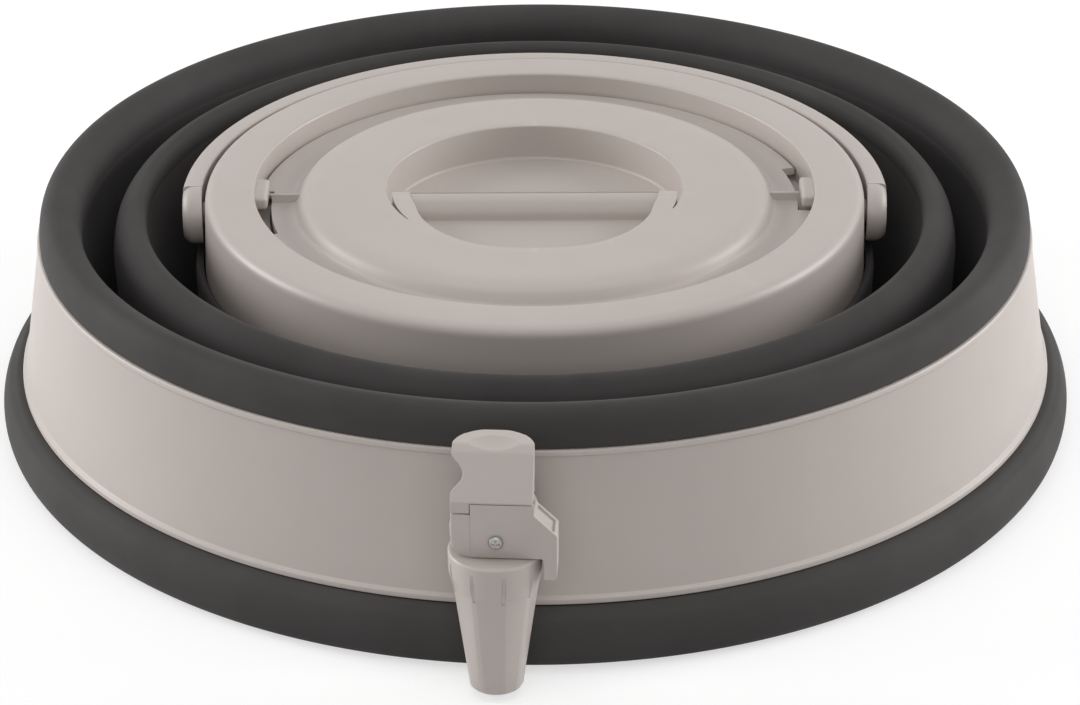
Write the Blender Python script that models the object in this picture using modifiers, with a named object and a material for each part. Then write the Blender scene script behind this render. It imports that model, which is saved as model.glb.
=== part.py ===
"""Collapsible water carrier, stored flat: shapes, sizes and materials.

Metres, +Z up, the flat foot on z = 0, the tap towards -Y.
"""

import math

import bmesh
import bpy
from mathutils import Matrix, Vector

# Widths, from the collar's bore outwards
RING_BORE_RADIUS = 0.0798
RING_WIDTH = 0.0140
NECK_LAP = 0.0034
INNER_VALLEY = 0.0050
INNER_LEAN = 0.0084
INNER_ROLL = 0.0096
INNER_STEP = 0.0007
OUTER_VALLEY = 0.0055
OUTER_LEAN = 0.0040
OUTER_ROLL = 0.0118
BAND_EDGE = 0.0004
BAND_FLARE = 0.0063
FOOT_ROLL = 0.0071

# Heights, from the ground upwards
FLOOR_WALL = 0.0030
FOLD_CLEARANCE = 0.0052
VALLEY_DEPTH = 0.0036
FOOT_HEIGHT = 0.0159
BAND_HEIGHT = 0.0408
FOLD_RIM_RISE = 0.0005
OUTER_ROLL_RISE = 0.0103
INNER_ROLL_RISE = 0.0068
RING_RISE = 0.0100

# Walls and the gap between pieces that touch
BAND_WALL = 0.0022
SOFT_WALL = 0.0020
COLLAR_WALL = 0.0022
GAP = 0.0003

# Radii that follow from the widths
RING_RADIUS = RING_BORE_RADIUS + RING_WIDTH
NECK_RADIUS = RING_RADIUS + NECK_LAP
INNER_FOLD_RADIUS = NECK_RADIUS + INNER_VALLEY
MID_INNER_RADIUS = INNER_FOLD_RADIUS + INNER_LEAN
MID_OUTER_RADIUS = MID_INNER_RADIUS + INNER_ROLL
MID_WALL_RADIUS = MID_OUTER_RADIUS - INNER_STEP
OUTER_FOLD_RADIUS = MID_WALL_RADIUS + OUTER_VALLEY
RIM_INNER_RADIUS = OUTER_FOLD_RADIUS + OUTER_LEAN
RIM_OUTER_RADIUS = RIM_INNER_RADIUS + OUTER_ROLL
BAND_TOP_RADIUS = RIM_OUTER_RADIUS + BAND_EDGE
BAND_BASE_RADIUS = BAND_TOP_RADIUS + BAND_FLARE
FOOT_RADIUS = BAND_BASE_RADIUS + FOOT_ROLL

# Levels that follow from the heights
FOLD_BOTTOM_Z = FLOOR_WALL + FOLD_CLEARANCE
FOLD_END_Z = FOLD_BOTTOM_Z + VALLEY_DEPTH
BAND_BASE_Z = FOOT_HEIGHT + GAP
BAND_TOP_Z = BAND_BASE_Z + BAND_HEIGHT
FOLD_RIM_Z = BAND_TOP_Z + FOLD_RIM_RISE
CREST_OUTER_TOP_Z = BAND_TOP_Z + OUTER_ROLL_RISE
CREST_INNER_TOP_Z = BAND_TOP_Z + INNER_ROLL_RISE
RING_TOP_Z = BAND_TOP_Z + RING_RISE

# Counts of flats round a circle
RING_STEPS = 48
SMALL_STEPS = 24
PIN_STEPS = 16

# Collections
PARTS_NAME = "collapsible_water_carrier"
CUTTERS_NAME = "carrier_cutters"


def clear_scene():
    """Remove every object that the new scene starts with."""
    for item in list(bpy.data.objects):
        bpy.data.objects.remove(item, do_unlink=True)


def make_collection(name):
    """Make a collection and link it to the scene."""
    group = bpy.data.collections.new(name)
    bpy.context.scene.collection.children.link(group)
    return group


def make_material(name, colour, roughness, metallic=0.0):
    """Make a material from one Principled BSDF."""
    material = bpy.data.materials.new(name)
    material.use_nodes = True
    shader = material.node_tree.nodes["Principled BSDF"]
    shader.inputs["Base Color"].default_value = (*colour, 1.0)
    shader.inputs["Roughness"].default_value = roughness
    shader.inputs["Metallic"].default_value = metallic
    return material


def shell_plastic(name):
    """Warm light grey moulded plastic."""
    return make_material(name, (0.57, 0.52, 0.49), 0.45)


def soft_wall(name):
    """Dark charcoal soft moulded wall."""
    return make_material(name, (0.085, 0.080, 0.082), 0.6)


def seal_rubber(name):
    """Black seal rubber."""
    return make_material(name, (0.03, 0.03, 0.03), 0.7)


def steel(name):
    """Bright steel of the small screw and pin."""
    return make_material(name, (0.6, 0.6, 0.6), 0.3, 1.0)


class Builder:
    """Keeps the two collections and makes the basic shapes in them."""

    def __init__(self):
        self.parts = make_collection(PARTS_NAME)
        self.cutters = make_collection(CUTTERS_NAME)
        self.cutter_count = 0

    def add(self, name, mesh, material=None):
        """Link a mesh as a part, or as a cutter where it has no material."""
        item = bpy.data.objects.new(name, mesh)
        if material is None:
            self.cutters.objects.link(item)
            item.hide_render = True
            item.display_type = "WIRE"
        else:
            self.parts.objects.link(item)
            mesh.materials.append(material)
        return item

    def cutter_name(self):
        """Give the next free cutter name."""
        self.cutter_count += 1
        return f"cutter_{self.cutter_count:02d}"

    def turned(self, name, points, material=None, steps=RING_STEPS, closed=True):
        """Turn a section about Z with a Screw modifier."""
        mesh = bpy.data.meshes.new(name)
        verts = [(radius, 0.0, height) for radius, height in points]
        edges = [(index, index + 1) for index in range(len(verts) - 1)]
        if closed:
            edges.append((len(verts) - 1, 0))
        mesh.from_pydata(verts, edges, [])
        item = self.add(name, mesh, material)
        screw = item.modifiers.new("turn", "SCREW")
        screw.axis = "Z"
        screw.angle = math.tau
        screw.steps = steps
        screw.render_steps = steps
        screw.use_merge_vertices = True
        screw.merge_threshold = 0.00001
        screw.use_smooth_shade = True
        return item

    def turned_shell(self, name, path, thickness, material):
        """Turn an open path and give it its wall thickness inwards."""
        item = self.turned(name, path, material, closed=False)
        wall = item.modifiers.new("wall", "SOLIDIFY")
        wall.thickness = thickness
        wall.offset = -1.0
        wall.use_even_offset = True
        wall.use_rim = True
        return item

    def block(self, name, low, high, material=None):
        """Make a box from its two far corners."""
        low, high = Vector(low), Vector(high)
        shape = bmesh.new()
        bmesh.ops.create_cube(shape, size=1.0)
        size = high - low
        bmesh.ops.scale(shape, vec=size, verts=shape.verts)
        bmesh.ops.translate(shape, vec=(low + high) / 2, verts=shape.verts)
        return self.finish(name, shape, material)

    def rod(self, name, start, end, radius, material=None, end_radius=None,
            steps=SMALL_STEPS):
        """Make a round or tapered rod between two points."""
        start, end = Vector(start), Vector(end)
        along = end - start
        tip = radius if end_radius is None else end_radius
        shape = bmesh.new()
        bmesh.ops.create_cone(shape, cap_ends=True, segments=steps,
                              radius1=radius, radius2=tip, depth=along.length)
        turn = Vector((0, 0, 1)).rotation_difference(along).to_matrix().to_4x4()
        place = Matrix.Translation((start + end) / 2) @ turn
        bmesh.ops.transform(shape, matrix=place, verts=shape.verts)
        return self.finish(name, shape, material, smooth=True)

    def plate(self, name, outline, low, high, axis="Z", material=None):
        """Extrude a flat closed outline between two levels of an axis.

        The outline's pairs are (x, y) for Z, (x, z) for Y and (y, z) for X.
        """
        flat = bpy.data.curves.new(name + "_outline", "CURVE")
        flat.dimensions = "2D"
        flat.fill_mode = "BOTH"
        flat.extrude = (high - low) / 2
        spline = flat.splines.new("POLY")
        spline.points.add(len(outline) - 1)
        for point, (first, second) in zip(spline.points, outline):
            point.co = (first, second, 0.0, 1.0)
        spline.use_cyclic_u = True
        guide = bpy.data.objects.new(name + "_guide", flat)
        self.cutters.objects.link(guide)
        bpy.context.view_layer.update()
        mesh = bpy.data.meshes.new_from_object(guide)
        bpy.data.objects.remove(guide, do_unlink=True)
        shape = bmesh.new()
        shape.from_mesh(mesh)
        bmesh.ops.remove_doubles(shape, verts=shape.verts, dist=0.000001)
        centre = (high + low) / 2
        if axis == "Z":
            place = Matrix.Translation((0, 0, centre))
        elif axis == "Y":
            place = Matrix(((1, 0, 0, 0), (0, 0, -1, centre), (0, 1, 0, 0),
                            (0, 0, 0, 1)))
        else:
            place = Matrix(((0, 0, 1, centre), (1, 0, 0, 0), (0, 1, 0, 0),
                            (0, 0, 0, 1)))
        bmesh.ops.transform(shape, matrix=place, verts=shape.verts)
        return self.finish(name, shape, material)

    def finish(self, name, shape, material, smooth=False):
        """Turn a working mesh into an object, faces looking out."""
        bmesh.ops.recalc_face_normals(shape, faces=shape.faces)
        mesh = bpy.data.meshes.new(name)
        shape.to_mesh(mesh)
        shape.free()
        if smooth:
            mesh.polygons.foreach_set("use_smooth", [True] * len(mesh.polygons))
        return self.add(name, mesh, material)


def boolean(item, other, operation):
    """Add an exact Boolean with another object."""
    step = item.modifiers.new(operation.lower(), "BOOLEAN")
    step.operation = operation
    step.solver = "EXACT"
    step.object = other


def set_origin(item, point):
    """Move an object's origin to a point without moving its shape."""
    item.data.transform(Matrix.Translation(-Vector(point)))
    item.location = Vector(point)


def mapped(shares, low, high):
    """Map pairs of shares to (radius, height) pairs between two corners."""
    return [(low[0] + (high[0] - low[0]) * across, low[1] + (high[1] - low[1]) * up)
            for across, up in shares]


def arc(centre, radius, start_deg, end_deg, steps):
    """Points on a circular arc, both ends included."""
    return [(centre[0] + radius * math.cos(math.radians(angle)),
             centre[1] + radius * math.sin(math.radians(angle)))
            for angle in (start_deg + (end_deg - start_deg) * step / steps
                          for step in range(steps + 1))]


def band_radius(height):
    """Outer radius of the tapering band at a height."""
    share = (height - BAND_BASE_Z) / (BAND_TOP_Z - BAND_BASE_Z)
    return BAND_BASE_RADIUS + (BAND_TOP_RADIUS - BAND_BASE_RADIUS) * share


def build_base(kit):
    """Soft foot ring and floor in one moulding."""
    upstand = 0.0116
    upstand_wall = 0.0024
    floor_corner = 0.0080
    pad_inset = 0.0010
    upstand_top = BAND_BASE_Z + upstand
    rim_shares = [(0.0, 1.0), (0.42, 0.94), (0.80, 0.78), (1.0, 0.50), (0.94, 0.30),
                  (0.70, 0.12), (0.30, 0.02)]
    seat_radius = band_radius(BAND_BASE_Z) + GAP
    inner_foot = band_radius(BAND_BASE_Z) - BAND_WALL - GAP
    inner_top = band_radius(upstand_top) - BAND_WALL - GAP
    pad_outer = BAND_BASE_RADIUS - pad_inset
    rim = mapped(rim_shares, (seat_radius, 0.0), (FOOT_RADIUS, FOOT_HEIGHT))
    section = [(0.0, FLOOR_WALL), (inner_foot - floor_corner, FLOOR_WALL),
               (inner_foot - upstand_wall, FLOOR_WALL * 2),
               (inner_top - upstand_wall, upstand_top), (inner_top, upstand_top),
               (inner_foot, FOOT_HEIGHT)]
    section += rim
    section += [(pad_outer, 0.0), (0.0, 0.0)]
    return kit.turned("base_foot_and_floor", section, soft_wall("soft_wall_base"), closed=False)


def build_band(kit, hole):
    """Hard tapering band with a thin lip along both edges."""
    lip = 0.0007
    lip_height = 0.0014
    foot_lip = 0.0010
    low = BAND_BASE_Z
    top_under = BAND_TOP_Z - lip_height
    foot_over = low + lip_height
    section = [(BAND_TOP_RADIUS - BAND_WALL, BAND_TOP_Z), (BAND_TOP_RADIUS, BAND_TOP_Z),
               (band_radius(top_under) + lip / 2, top_under + lip / 2),
               (band_radius(top_under), top_under - lip / 2),
               (band_radius(foot_over) - GAP, foot_over + lip),
               (band_radius(foot_over) + foot_lip, foot_over),
               (BAND_BASE_RADIUS + foot_lip, low), (BAND_BASE_RADIUS - BAND_WALL, low)]
    band = kit.turned("band", section, shell_plastic("shell_plastic_band"))
    boolean(band, hole, "DIFFERENCE")
    return band


def build_outer_rim(kit):
    """Outermost roll of the bellows, fixed on top of the band."""
    lap = 0.0032
    lap_wall = 0.0019
    low = FOLD_RIM_Z + GAP
    shares = [(0.0, 0.0), (0.03, 0.36), (0.13, 0.60), (0.28, 0.80), (0.47, 0.95),
              (0.64, 1.0), (0.84, 0.84), (0.96, 0.52), (1.0, 0.14)]
    roll = mapped(shares, (RIM_INNER_RADIUS, low), (RIM_OUTER_RADIUS, CREST_OUTER_TOP_Z))
    seat_z = BAND_TOP_Z + GAP
    lap_top = band_radius(seat_z) - BAND_WALL - GAP
    lap_foot_z = seat_z - GAP - lap
    lap_foot = band_radius(lap_foot_z) - BAND_WALL - GAP
    under_shares = [(0.0, 0.0), (0.05, 0.38), (0.24, 0.76), (0.50, 1.0), (0.74, 0.90),
                    (0.90, 0.45)]
    under_low = (RIM_INNER_RADIUS + SOFT_WALL, low)
    under_high = (RIM_OUTER_RADIUS - SOFT_WALL, CREST_OUTER_TOP_Z - SOFT_WALL)
    under = mapped(under_shares, under_low, under_high)
    section = roll + [(RIM_OUTER_RADIUS, seat_z), (lap_top, seat_z),
                      (lap_foot, lap_foot_z), (lap_foot - lap_wall, lap_foot_z),
                      (lap_top - lap_wall, seat_z)]
    section += list(reversed(under))
    return kit.turned("bellows_outer_rim", section, soft_wall("soft_wall_rim"))


def build_folds(kit):
    """The two thin walls that turn inside out when the carrier opens."""
    outer = [(OUTER_FOLD_RADIUS, FOLD_END_Z + GAP), (RIM_INNER_RADIUS, FOLD_RIM_Z)]
    inner = [(INNER_FOLD_RADIUS, FOLD_END_Z + GAP), (MID_INNER_RADIUS, FOLD_RIM_Z)]
    kit.turned_shell("bellows_outer_fold", outer, SOFT_WALL, soft_wall("soft_wall_fold_a"))
    kit.turned_shell("bellows_inner_fold", inner, SOFT_WALL, soft_wall("soft_wall_fold_b"))


def valley(inner_radius, outer_radius):
    """The rounded bottom between two bellows walls, inner end first."""
    shares = [(0.0, 1.0), (0.18, 0.25), (0.5, 0.0), (0.82, 0.25), (1.0, 1.0)]
    return mapped(shares, (inner_radius, FOLD_BOTTOM_Z), (outer_radius, FOLD_END_Z))


def build_middle_ring(kit):
    """Middle bellows ring: the second roll, its outer wall and the valley."""
    low = FOLD_RIM_Z + GAP
    shoulder_drop = 0.0047
    roll_shares = [(0.0, 0.0), (0.02, 0.45), (0.11, 0.83), (0.29, 1.0), (0.54, 0.84),
                   (0.79, 0.35)]
    roll = mapped(roll_shares, (MID_INNER_RADIUS, low), (MID_OUTER_RADIUS, CREST_INNER_TOP_Z))
    shoulder = (MID_OUTER_RADIUS, FOLD_RIM_Z - shoulder_drop)
    path = roll + [shoulder] + valley(MID_WALL_RADIUS, OUTER_FOLD_RADIUS)
    return kit.turned_shell("bellows_middle_ring", path, SOFT_WALL, soft_wall("soft_wall_mid"))


NECK_WALL = 0.0019
CUFF_DROP = 0.0202


def build_neck(kit):
    """Innermost bellows wall, its cuff round the collar and the valley."""
    path = [(NECK_RADIUS, RING_TOP_Z - CUFF_DROP)] + valley(NECK_RADIUS, INNER_FOLD_RADIUS)
    return kit.turned_shell("bellows_neck", path, NECK_WALL, soft_wall("soft_wall_neck"))


# The collar's lid seat and blocks, and what the lid takes from them
PIVOT_PIN_RADIUS = 0.0033
HANDLE_DROP = 0.0098
LID_SEAT_DROP = 0.0106
SEAT_LEDGE = 0.0073
LID_SEAL_THICKNESS = 0.0016
FLANGE_THICKNESS = 0.0022
BLOCK_REACH = 0.0038
BLOCK_HALF_LENGTH = 0.00685
BLOCK_HEIGHT = 0.0041
HANDLE_PIVOT_Z = RING_TOP_Z - HANDLE_DROP
LID_SEAT_Z = RING_TOP_Z - LID_SEAT_DROP
LID_SEAT_BORE = RING_BORE_RADIUS - SEAT_LEDGE
SEAL_TOP_Z = LID_SEAT_Z + GAP + LID_SEAL_THICKNESS
FLANGE_FOOT_Z = SEAL_TOP_Z + GAP
FLANGE_TOP_Z = FLANGE_FOOT_Z + FLANGE_THICKNESS
BLOCK_INNER_RADIUS = RING_BORE_RADIUS - BLOCK_REACH
BLOCK_BASE_Z = FLANGE_TOP_Z + GAP


def build_collar(kit):
    """Hard neck collar: flat ring top, outer wall, bore and lid seat."""
    wall_height = 0.0332
    edge = 0.0030
    bore_edge = 0.0008
    wall_foot_radius = NECK_RADIUS - NECK_WALL - GAP
    wall_foot_z = RING_TOP_Z - wall_height
    top = RING_TOP_Z
    under_top = top - COLLAR_WALL
    seat_under = LID_SEAT_Z - COLLAR_WALL
    edge_shares = [(0.25, 1.0), (0.78, 0.70), (1.0, 0.0)]
    rounded = mapped(edge_shares, (RING_RADIUS - edge, top - edge), (RING_RADIUS, top))
    section = [(RING_BORE_RADIUS + bore_edge, top)] + rounded
    section += [(wall_foot_radius, wall_foot_z), (wall_foot_radius - COLLAR_WALL, wall_foot_z),
                (RING_RADIUS - COLLAR_WALL, under_top),
                (RING_BORE_RADIUS + COLLAR_WALL, under_top),
                (RING_BORE_RADIUS + COLLAR_WALL, seat_under), (LID_SEAT_BORE, seat_under),
                (LID_SEAT_BORE, LID_SEAT_Z), (RING_BORE_RADIUS, LID_SEAT_Z),
                (RING_BORE_RADIUS, top - bore_edge)]
    collar = kit.turned("collar", section, shell_plastic("shell_plastic_collar"))
    wall_mid = RING_BORE_RADIUS + COLLAR_WALL / 2
    block_top = BLOCK_BASE_Z + BLOCK_HEIGHT
    for side in (-1, 1):
        low_x, high_x = sorted((side * BLOCK_INNER_RADIUS, side * wall_mid))
        catch = kit.block(kit.cutter_name(), (low_x, -BLOCK_HALF_LENGTH, BLOCK_BASE_Z),
                          (high_x, BLOCK_HALF_LENGTH, block_top))
        boolean(collar, catch, "UNION")
    bore_start = RING_RADIUS - COLLAR_WALL * 2
    bore_end = RING_RADIUS + COLLAR_WALL
    for side in (-1, 1):
        bore = kit.rod(kit.cutter_name(), (side * bore_start, 0, HANDLE_PIVOT_Z),
                       (side * bore_end, 0, HANDLE_PIVOT_Z), PIVOT_PIN_RADIUS + GAP,
                       steps=PIN_STEPS)
        boolean(collar, bore, "DIFFERENCE")
    return collar


def build_handle(kit):
    """Carrying bail: half hoop, two round ends and their pivot pins."""
    clearance = 0.0011
    thickness = 0.0056
    rise = 0.0086
    drop = 0.0014
    edge = 0.0016
    end_radius = 0.0085
    pin_overrun = 0.0021
    inner = RING_RADIUS + clearance
    outer = inner + thickness
    pin_start = RING_RADIUS - COLLAR_WALL - pin_overrun
    top = HANDLE_PIVOT_Z + rise
    foot = HANDLE_PIVOT_Z - drop
    section = [(inner, top), (outer - edge, top), (outer, top - edge), (outer, foot + edge),
               (outer - edge, foot), (inner, foot)]
    handle = kit.turned("handle", section, shell_plastic("shell_plastic_handle"))
    far = outer * 2
    front = kit.block(kit.cutter_name(), (-far, -far, 0), (far, 0, top * 2))
    boolean(handle, front, "DIFFERENCE")
    for side in (-1, 1):
        end = kit.rod(kit.cutter_name(), (side * inner, 0, HANDLE_PIVOT_Z),
                      (side * (outer - GAP), 0, HANDLE_PIVOT_Z), end_radius)
        boolean(handle, end, "UNION")
        pin = kit.rod(kit.cutter_name(), (side * pin_start, 0, HANDLE_PIVOT_Z),
                      (side * (inner + edge), 0, HANDLE_PIVOT_Z), PIVOT_PIN_RADIUS,
                      steps=PIN_STEPS)
        boolean(handle, pin, "UNION")
    set_origin(handle, (0, 0, HANDLE_PIVOT_Z))
    return handle


def build_lid_seal(kit):
    """Flat seal ring between the lid's flange and the collar's seat."""
    inner = LID_SEAT_BORE + GAP + GAP
    outer = BLOCK_INNER_RADIUS - GAP
    foot = LID_SEAT_Z + GAP
    section = [(inner, SEAL_TOP_Z), (outer, SEAL_TOP_Z), (outer, foot), (inner, foot)]
    return kit.turned("lid_seal", section, seal_rubber("seal_rubber_lid"))


# Lid sizes that its own functions share
LID_WALL = 0.0022
LID_EDGE = 0.0005
LID_DOME_HEIGHT = 0.0051
SINK_RADIUS = 0.0423
SINK_DEPTH = 0.0107
DOME_TOP_Z = FLANGE_TOP_Z + LID_DOME_HEIGHT
SINK_FLOOR_Z = DOME_TOP_Z - SINK_DEPTH


def build_lid(kit):
    """Lid: flange with two notches, dome and plug, turned as one section."""
    floor_wall = 0.0020
    plug_clearance = 0.0007
    plug_depth = 0.0088
    dome_inset = 0.0034
    flange_radius = RING_BORE_RADIUS - GAP - GAP
    plug_radius = LID_SEAT_BORE - plug_clearance
    plug_foot = FLANGE_FOOT_Z - plug_depth
    dome_shares = [(0.78, 1.0), (0.85, 0.95), (0.90, 0.82), (0.94, 0.56), (0.97, 0.28),
                   (1.0, 0.01)]
    dome = mapped(dome_shares, (SINK_RADIUS, FLANGE_TOP_Z), (plug_radius - dome_inset, DOME_TOP_Z))
    under_shares = [(1.0, 0.0), (0.84, 0.25), (0.77, 0.74), (0.69, 0.97), (0.0, 1.0)]
    under = mapped(under_shares, (SINK_RADIUS + LID_WALL, FLANGE_FOOT_Z),
                   (plug_radius - LID_WALL, DOME_TOP_Z - LID_WALL))
    sink_under = SINK_FLOOR_Z - floor_wall
    section = [(0.0, SINK_FLOOR_Z), (SINK_RADIUS - LID_EDGE * 2, SINK_FLOOR_Z),
               (SINK_RADIUS, SINK_FLOOR_Z + LID_EDGE * 2), (SINK_RADIUS, DOME_TOP_Z - LID_EDGE),
               (SINK_RADIUS + LID_EDGE, DOME_TOP_Z)]
    section += dome
    section += [(flange_radius, FLANGE_TOP_Z), (flange_radius, FLANGE_FOOT_Z),
                (plug_radius, FLANGE_FOOT_Z), (plug_radius, plug_foot),
                (plug_radius - LID_WALL, plug_foot)]
    section += under
    section += [(SINK_RADIUS + LID_WALL, sink_under), (0.0, sink_under)]
    lid = kit.turned("lid", section, shell_plastic("shell_plastic_lid"), closed=False)
    add_lid_grip(kit, lid)
    cut_lid_slits(kit, lid)
    add_lid_ribs(kit, lid)
    cut_lid_notches(kit, lid)
    return lid


def add_lid_grip(kit, lid):
    """Fill the front corners of the sink, raise its front floor and add the grip bar."""
    bar_set_back = 0.0048
    bar_depth = 0.0050
    front_rise = 0.0049
    bedded = SINK_RADIUS + LID_WALL * 0.4
    lug_foot = SINK_FLOOR_Z - LID_WALL / 4
    front_floor = SINK_FLOOR_Z + front_rise
    rear_lean = math.degrees(math.asin(bar_set_back / bedded))
    front_edge_shares = [(0.835, -0.17), (0.80, -0.30), (0.765, -0.46), (0.70, -0.61),
                         (0.62, -0.73), (0.51, -0.835), (0.38, -0.92), (0.20, -0.972),
                         (0.0, -0.986)]

    def tongue(reach, first, rear):
        """Outline of the front part: its curved front edge and a straight rear edge."""
        right_side = mapped(front_edge_shares[first:], (0, 0), (reach, reach))
        left_side = [(-across, deep) for across, deep in reversed(right_side[:-1])]
        return [(right_side[0][0], rear), *right_side, *left_side, (left_side[-1][0], rear)]

    rear_edge = -bar_set_back
    outline = arc((0, 0), bedded, 180 + rear_lean, 360 - rear_lean, SMALL_STEPS)
    outline += tongue(SINK_RADIUS, 0, rear_edge)
    lug = kit.plate(kit.cutter_name(), outline, lug_foot, DOME_TOP_Z - LID_EDGE / 2)
    boolean(lid, lug, "UNION")
    step = kit.plate(kit.cutter_name(), tongue(bedded, 0, rear_edge), lug_foot, front_floor)
    boolean(lid, step, "UNION")
    bar_top = DOME_TOP_Z - LID_EDGE
    bar_shares = [(0.0, 0.0), (0.0, 0.94), (0.06, 1.0), (0.30, 0.97), (0.55, 0.86), (0.78, 0.66),
                  (0.94, 0.38), (1.0, 0.12), (1.0, 0.0)]
    bar_outline = mapped(bar_shares, (rear_edge, front_floor - LID_EDGE),
                         (rear_edge - bar_depth, bar_top))
    bar_reach = SINK_RADIUS * front_edge_shares[0][0] + LID_EDGE
    bar = kit.plate(kit.cutter_name(), bar_outline, -bar_reach, bar_reach, "X")
    boolean(lid, bar, "UNION")
    hollow = kit.plate(kit.cutter_name(), tongue(SINK_RADIUS - LID_WALL, 1, rear_edge - LID_WALL),
                       SINK_FLOOR_Z - LID_WALL * 2, front_floor - LID_WALL)
    boolean(lid, hollow, "DIFFERENCE")


def cut_lid_slits(kit, lid):
    """Cut the thin slits between the sink's wall and the front corners."""
    depth = 0.0035
    width = 0.0018
    tip_width = 0.0003
    outer = SINK_RADIUS - LID_EDGE / 2
    for start, end in ((184, 213), (356, 337)):
        outline = arc((0, 0), outer, start, end, PIN_STEPS)
        for step in range(PIN_STEPS, -1, -1):
            angle = math.radians(start + (end - start) * step / PIN_STEPS)
            inner = outer - width + (width - tip_width) * step / PIN_STEPS
            outline.append((inner * math.cos(angle), inner * math.sin(angle)))
        slit = kit.plate(kit.cutter_name(), outline, DOME_TOP_Z - depth, DOME_TOP_Z + LID_WALL)
        boolean(lid, slit, "DIFFERENCE")


def add_lid_ribs(kit, lid):
    """Add the two low ribs that point at the collar's blocks."""
    length = 0.0105
    thickness = 0.0009
    rise = 0.0025
    outer = BLOCK_INNER_RADIUS - LID_EDGE
    for side in (-1, 1):
        low_x, high_x = sorted((side * (outer - length), side * outer))
        rib = kit.block(kit.cutter_name(), (low_x, -thickness / 2, FLANGE_TOP_Z - LID_WALL / 2),
                        (high_x, thickness / 2, FLANGE_TOP_Z + rise))
        boolean(lid, rib, "UNION")


def cut_lid_notches(kit, lid):
    """Cut the two flange notches that drop past the collar's blocks."""
    clearance = 0.0004
    before = -6.2
    after = 14.0
    inner = BLOCK_INNER_RADIUS - clearance
    outer = RING_BORE_RADIUS + LID_WALL
    for start in (0, 180):
        outline = arc((0, 0), outer, start + before, start + after, PIN_STEPS)
        outline += arc((0, 0), inner, start + after, start + before, PIN_STEPS)
        notch = kit.plate(kit.cutter_name(), outline, FLANGE_FOOT_Z - LID_WALL,
                          FLANGE_TOP_Z + LID_WALL)
        boolean(lid, notch, "DIFFERENCE")


# Tap, drawn straight in front and then turned about the carrier's axis
TAP_YAW_DEG = -3.55
TAP_DROP = 0.0132
TAP_STANDOFF = 0.0084
SHANK_RADIUS = 0.0065
WASHER_RADIUS = 0.0090
FLANGE_RADIUS = 0.0100
FLANGE_DEPTH = 0.0018
WASHER_REACH = 0.0040
NUT_DEPTH = 0.0042
SHANK_OVERRUN = 0.0006
BODY_NOSE = 0.0043
BODY_LEFT = -0.0105
BODY_RIGHT = 0.0094
BODY_BELOW = 0.0016
BODY_ABOVE = 0.0064
COVER_WALL = 0.0014
COVER_RISE = 0.0066
TAB_DROP = 0.0026
SCREW_RISE = 0.0028
SCREW_SHIFT = 0.0006
SCREW_RADIUS = 0.0011
PIVOT_FORWARD = 0.0028
PIVOT_RISE = 0.0018
KNUCKLE_RADIUS = 0.0015
KNUCKLE_INNER = 0.0034
KNUCKLE_WIDTH = 0.0021
LEVER_PIN_RADIUS = 0.0007
STEM_RADIUS = 0.0009
LUG_RISE = 0.0037
SPOUT_RADIUS = 0.0118
SPOUT_CLEARANCE = 0.0026
CUT_OVERRUN = 0.0012
TAP_AXIS_Z = BAND_TOP_Z - TAP_DROP
TAP_REACH = FOOT_RADIUS + TAP_STANDOFF
FLANGE_BACK = BAND_BASE_RADIUS - GAP
BODY_BACK = FLANGE_BACK + FLANGE_DEPTH
BODY_FRONT = TAP_REACH + BODY_NOSE
BODY_FOOT_Z = TAP_AXIS_Z - BODY_BELOW
BODY_TOP_Z = TAP_AXIS_Z + BODY_ABOVE
COVER_BACK = BODY_FRONT + GAP
COVER_FRONT = COVER_BACK + COVER_WALL
COVER_TOP_Z = BODY_TOP_Z + COVER_RISE
SCREW_Z = TAP_AXIS_Z + SCREW_RISE
LEVER_PIVOT_Y = TAP_REACH + PIVOT_FORWARD
LEVER_PIVOT_Z = BODY_TOP_Z + PIVOT_RISE
LEVER_FOOT_Z = COVER_TOP_Z + GAP
TAB_FOOT_Z = LEVER_FOOT_Z - TAB_DROP
CHEEK_RIGHT = -(KNUCKLE_INNER + KNUCKLE_WIDTH + GAP)
WASHER_FACE = BAND_TOP_RADIUS - WASHER_REACH
NUT_FACE = WASHER_FACE - NUT_DEPTH
SHANK_END = NUT_FACE - SHANK_OVERRUN


def tap_turn(item):
    """Turn a tap piece from the -Y direction to its place on the band."""
    turn = Matrix.Rotation(math.radians(TAP_YAW_DEG), 4, "Z")
    item.matrix_world = turn @ Matrix.Translation(item.location)


def tap_rod(kit, start, end, radius, **options):
    """A rod along the tap's length, given by distances from the axis."""
    return kit.rod(kit.cutter_name(), (0, -start, TAP_AXIS_Z), (0, -end, TAP_AXIS_Z), radius,
                   **options)


def build_tap_hole(kit):
    """Cutter for the hole in the band."""
    hole = tap_rod(kit, SHANK_END, BODY_BACK, SHANK_RADIUS + GAP)
    tap_turn(hole)
    return hole


def band_solid(kit, offset):
    """A plain cone that follows the band's surface at an offset."""
    low, high = BAND_BASE_Z, BAND_TOP_Z
    section = [(0.0, high), (band_radius(high) + offset, high),
               (band_radius(low) + offset, low), (0.0, low)]
    return kit.turned(kit.cutter_name(), section, closed=False)


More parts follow.
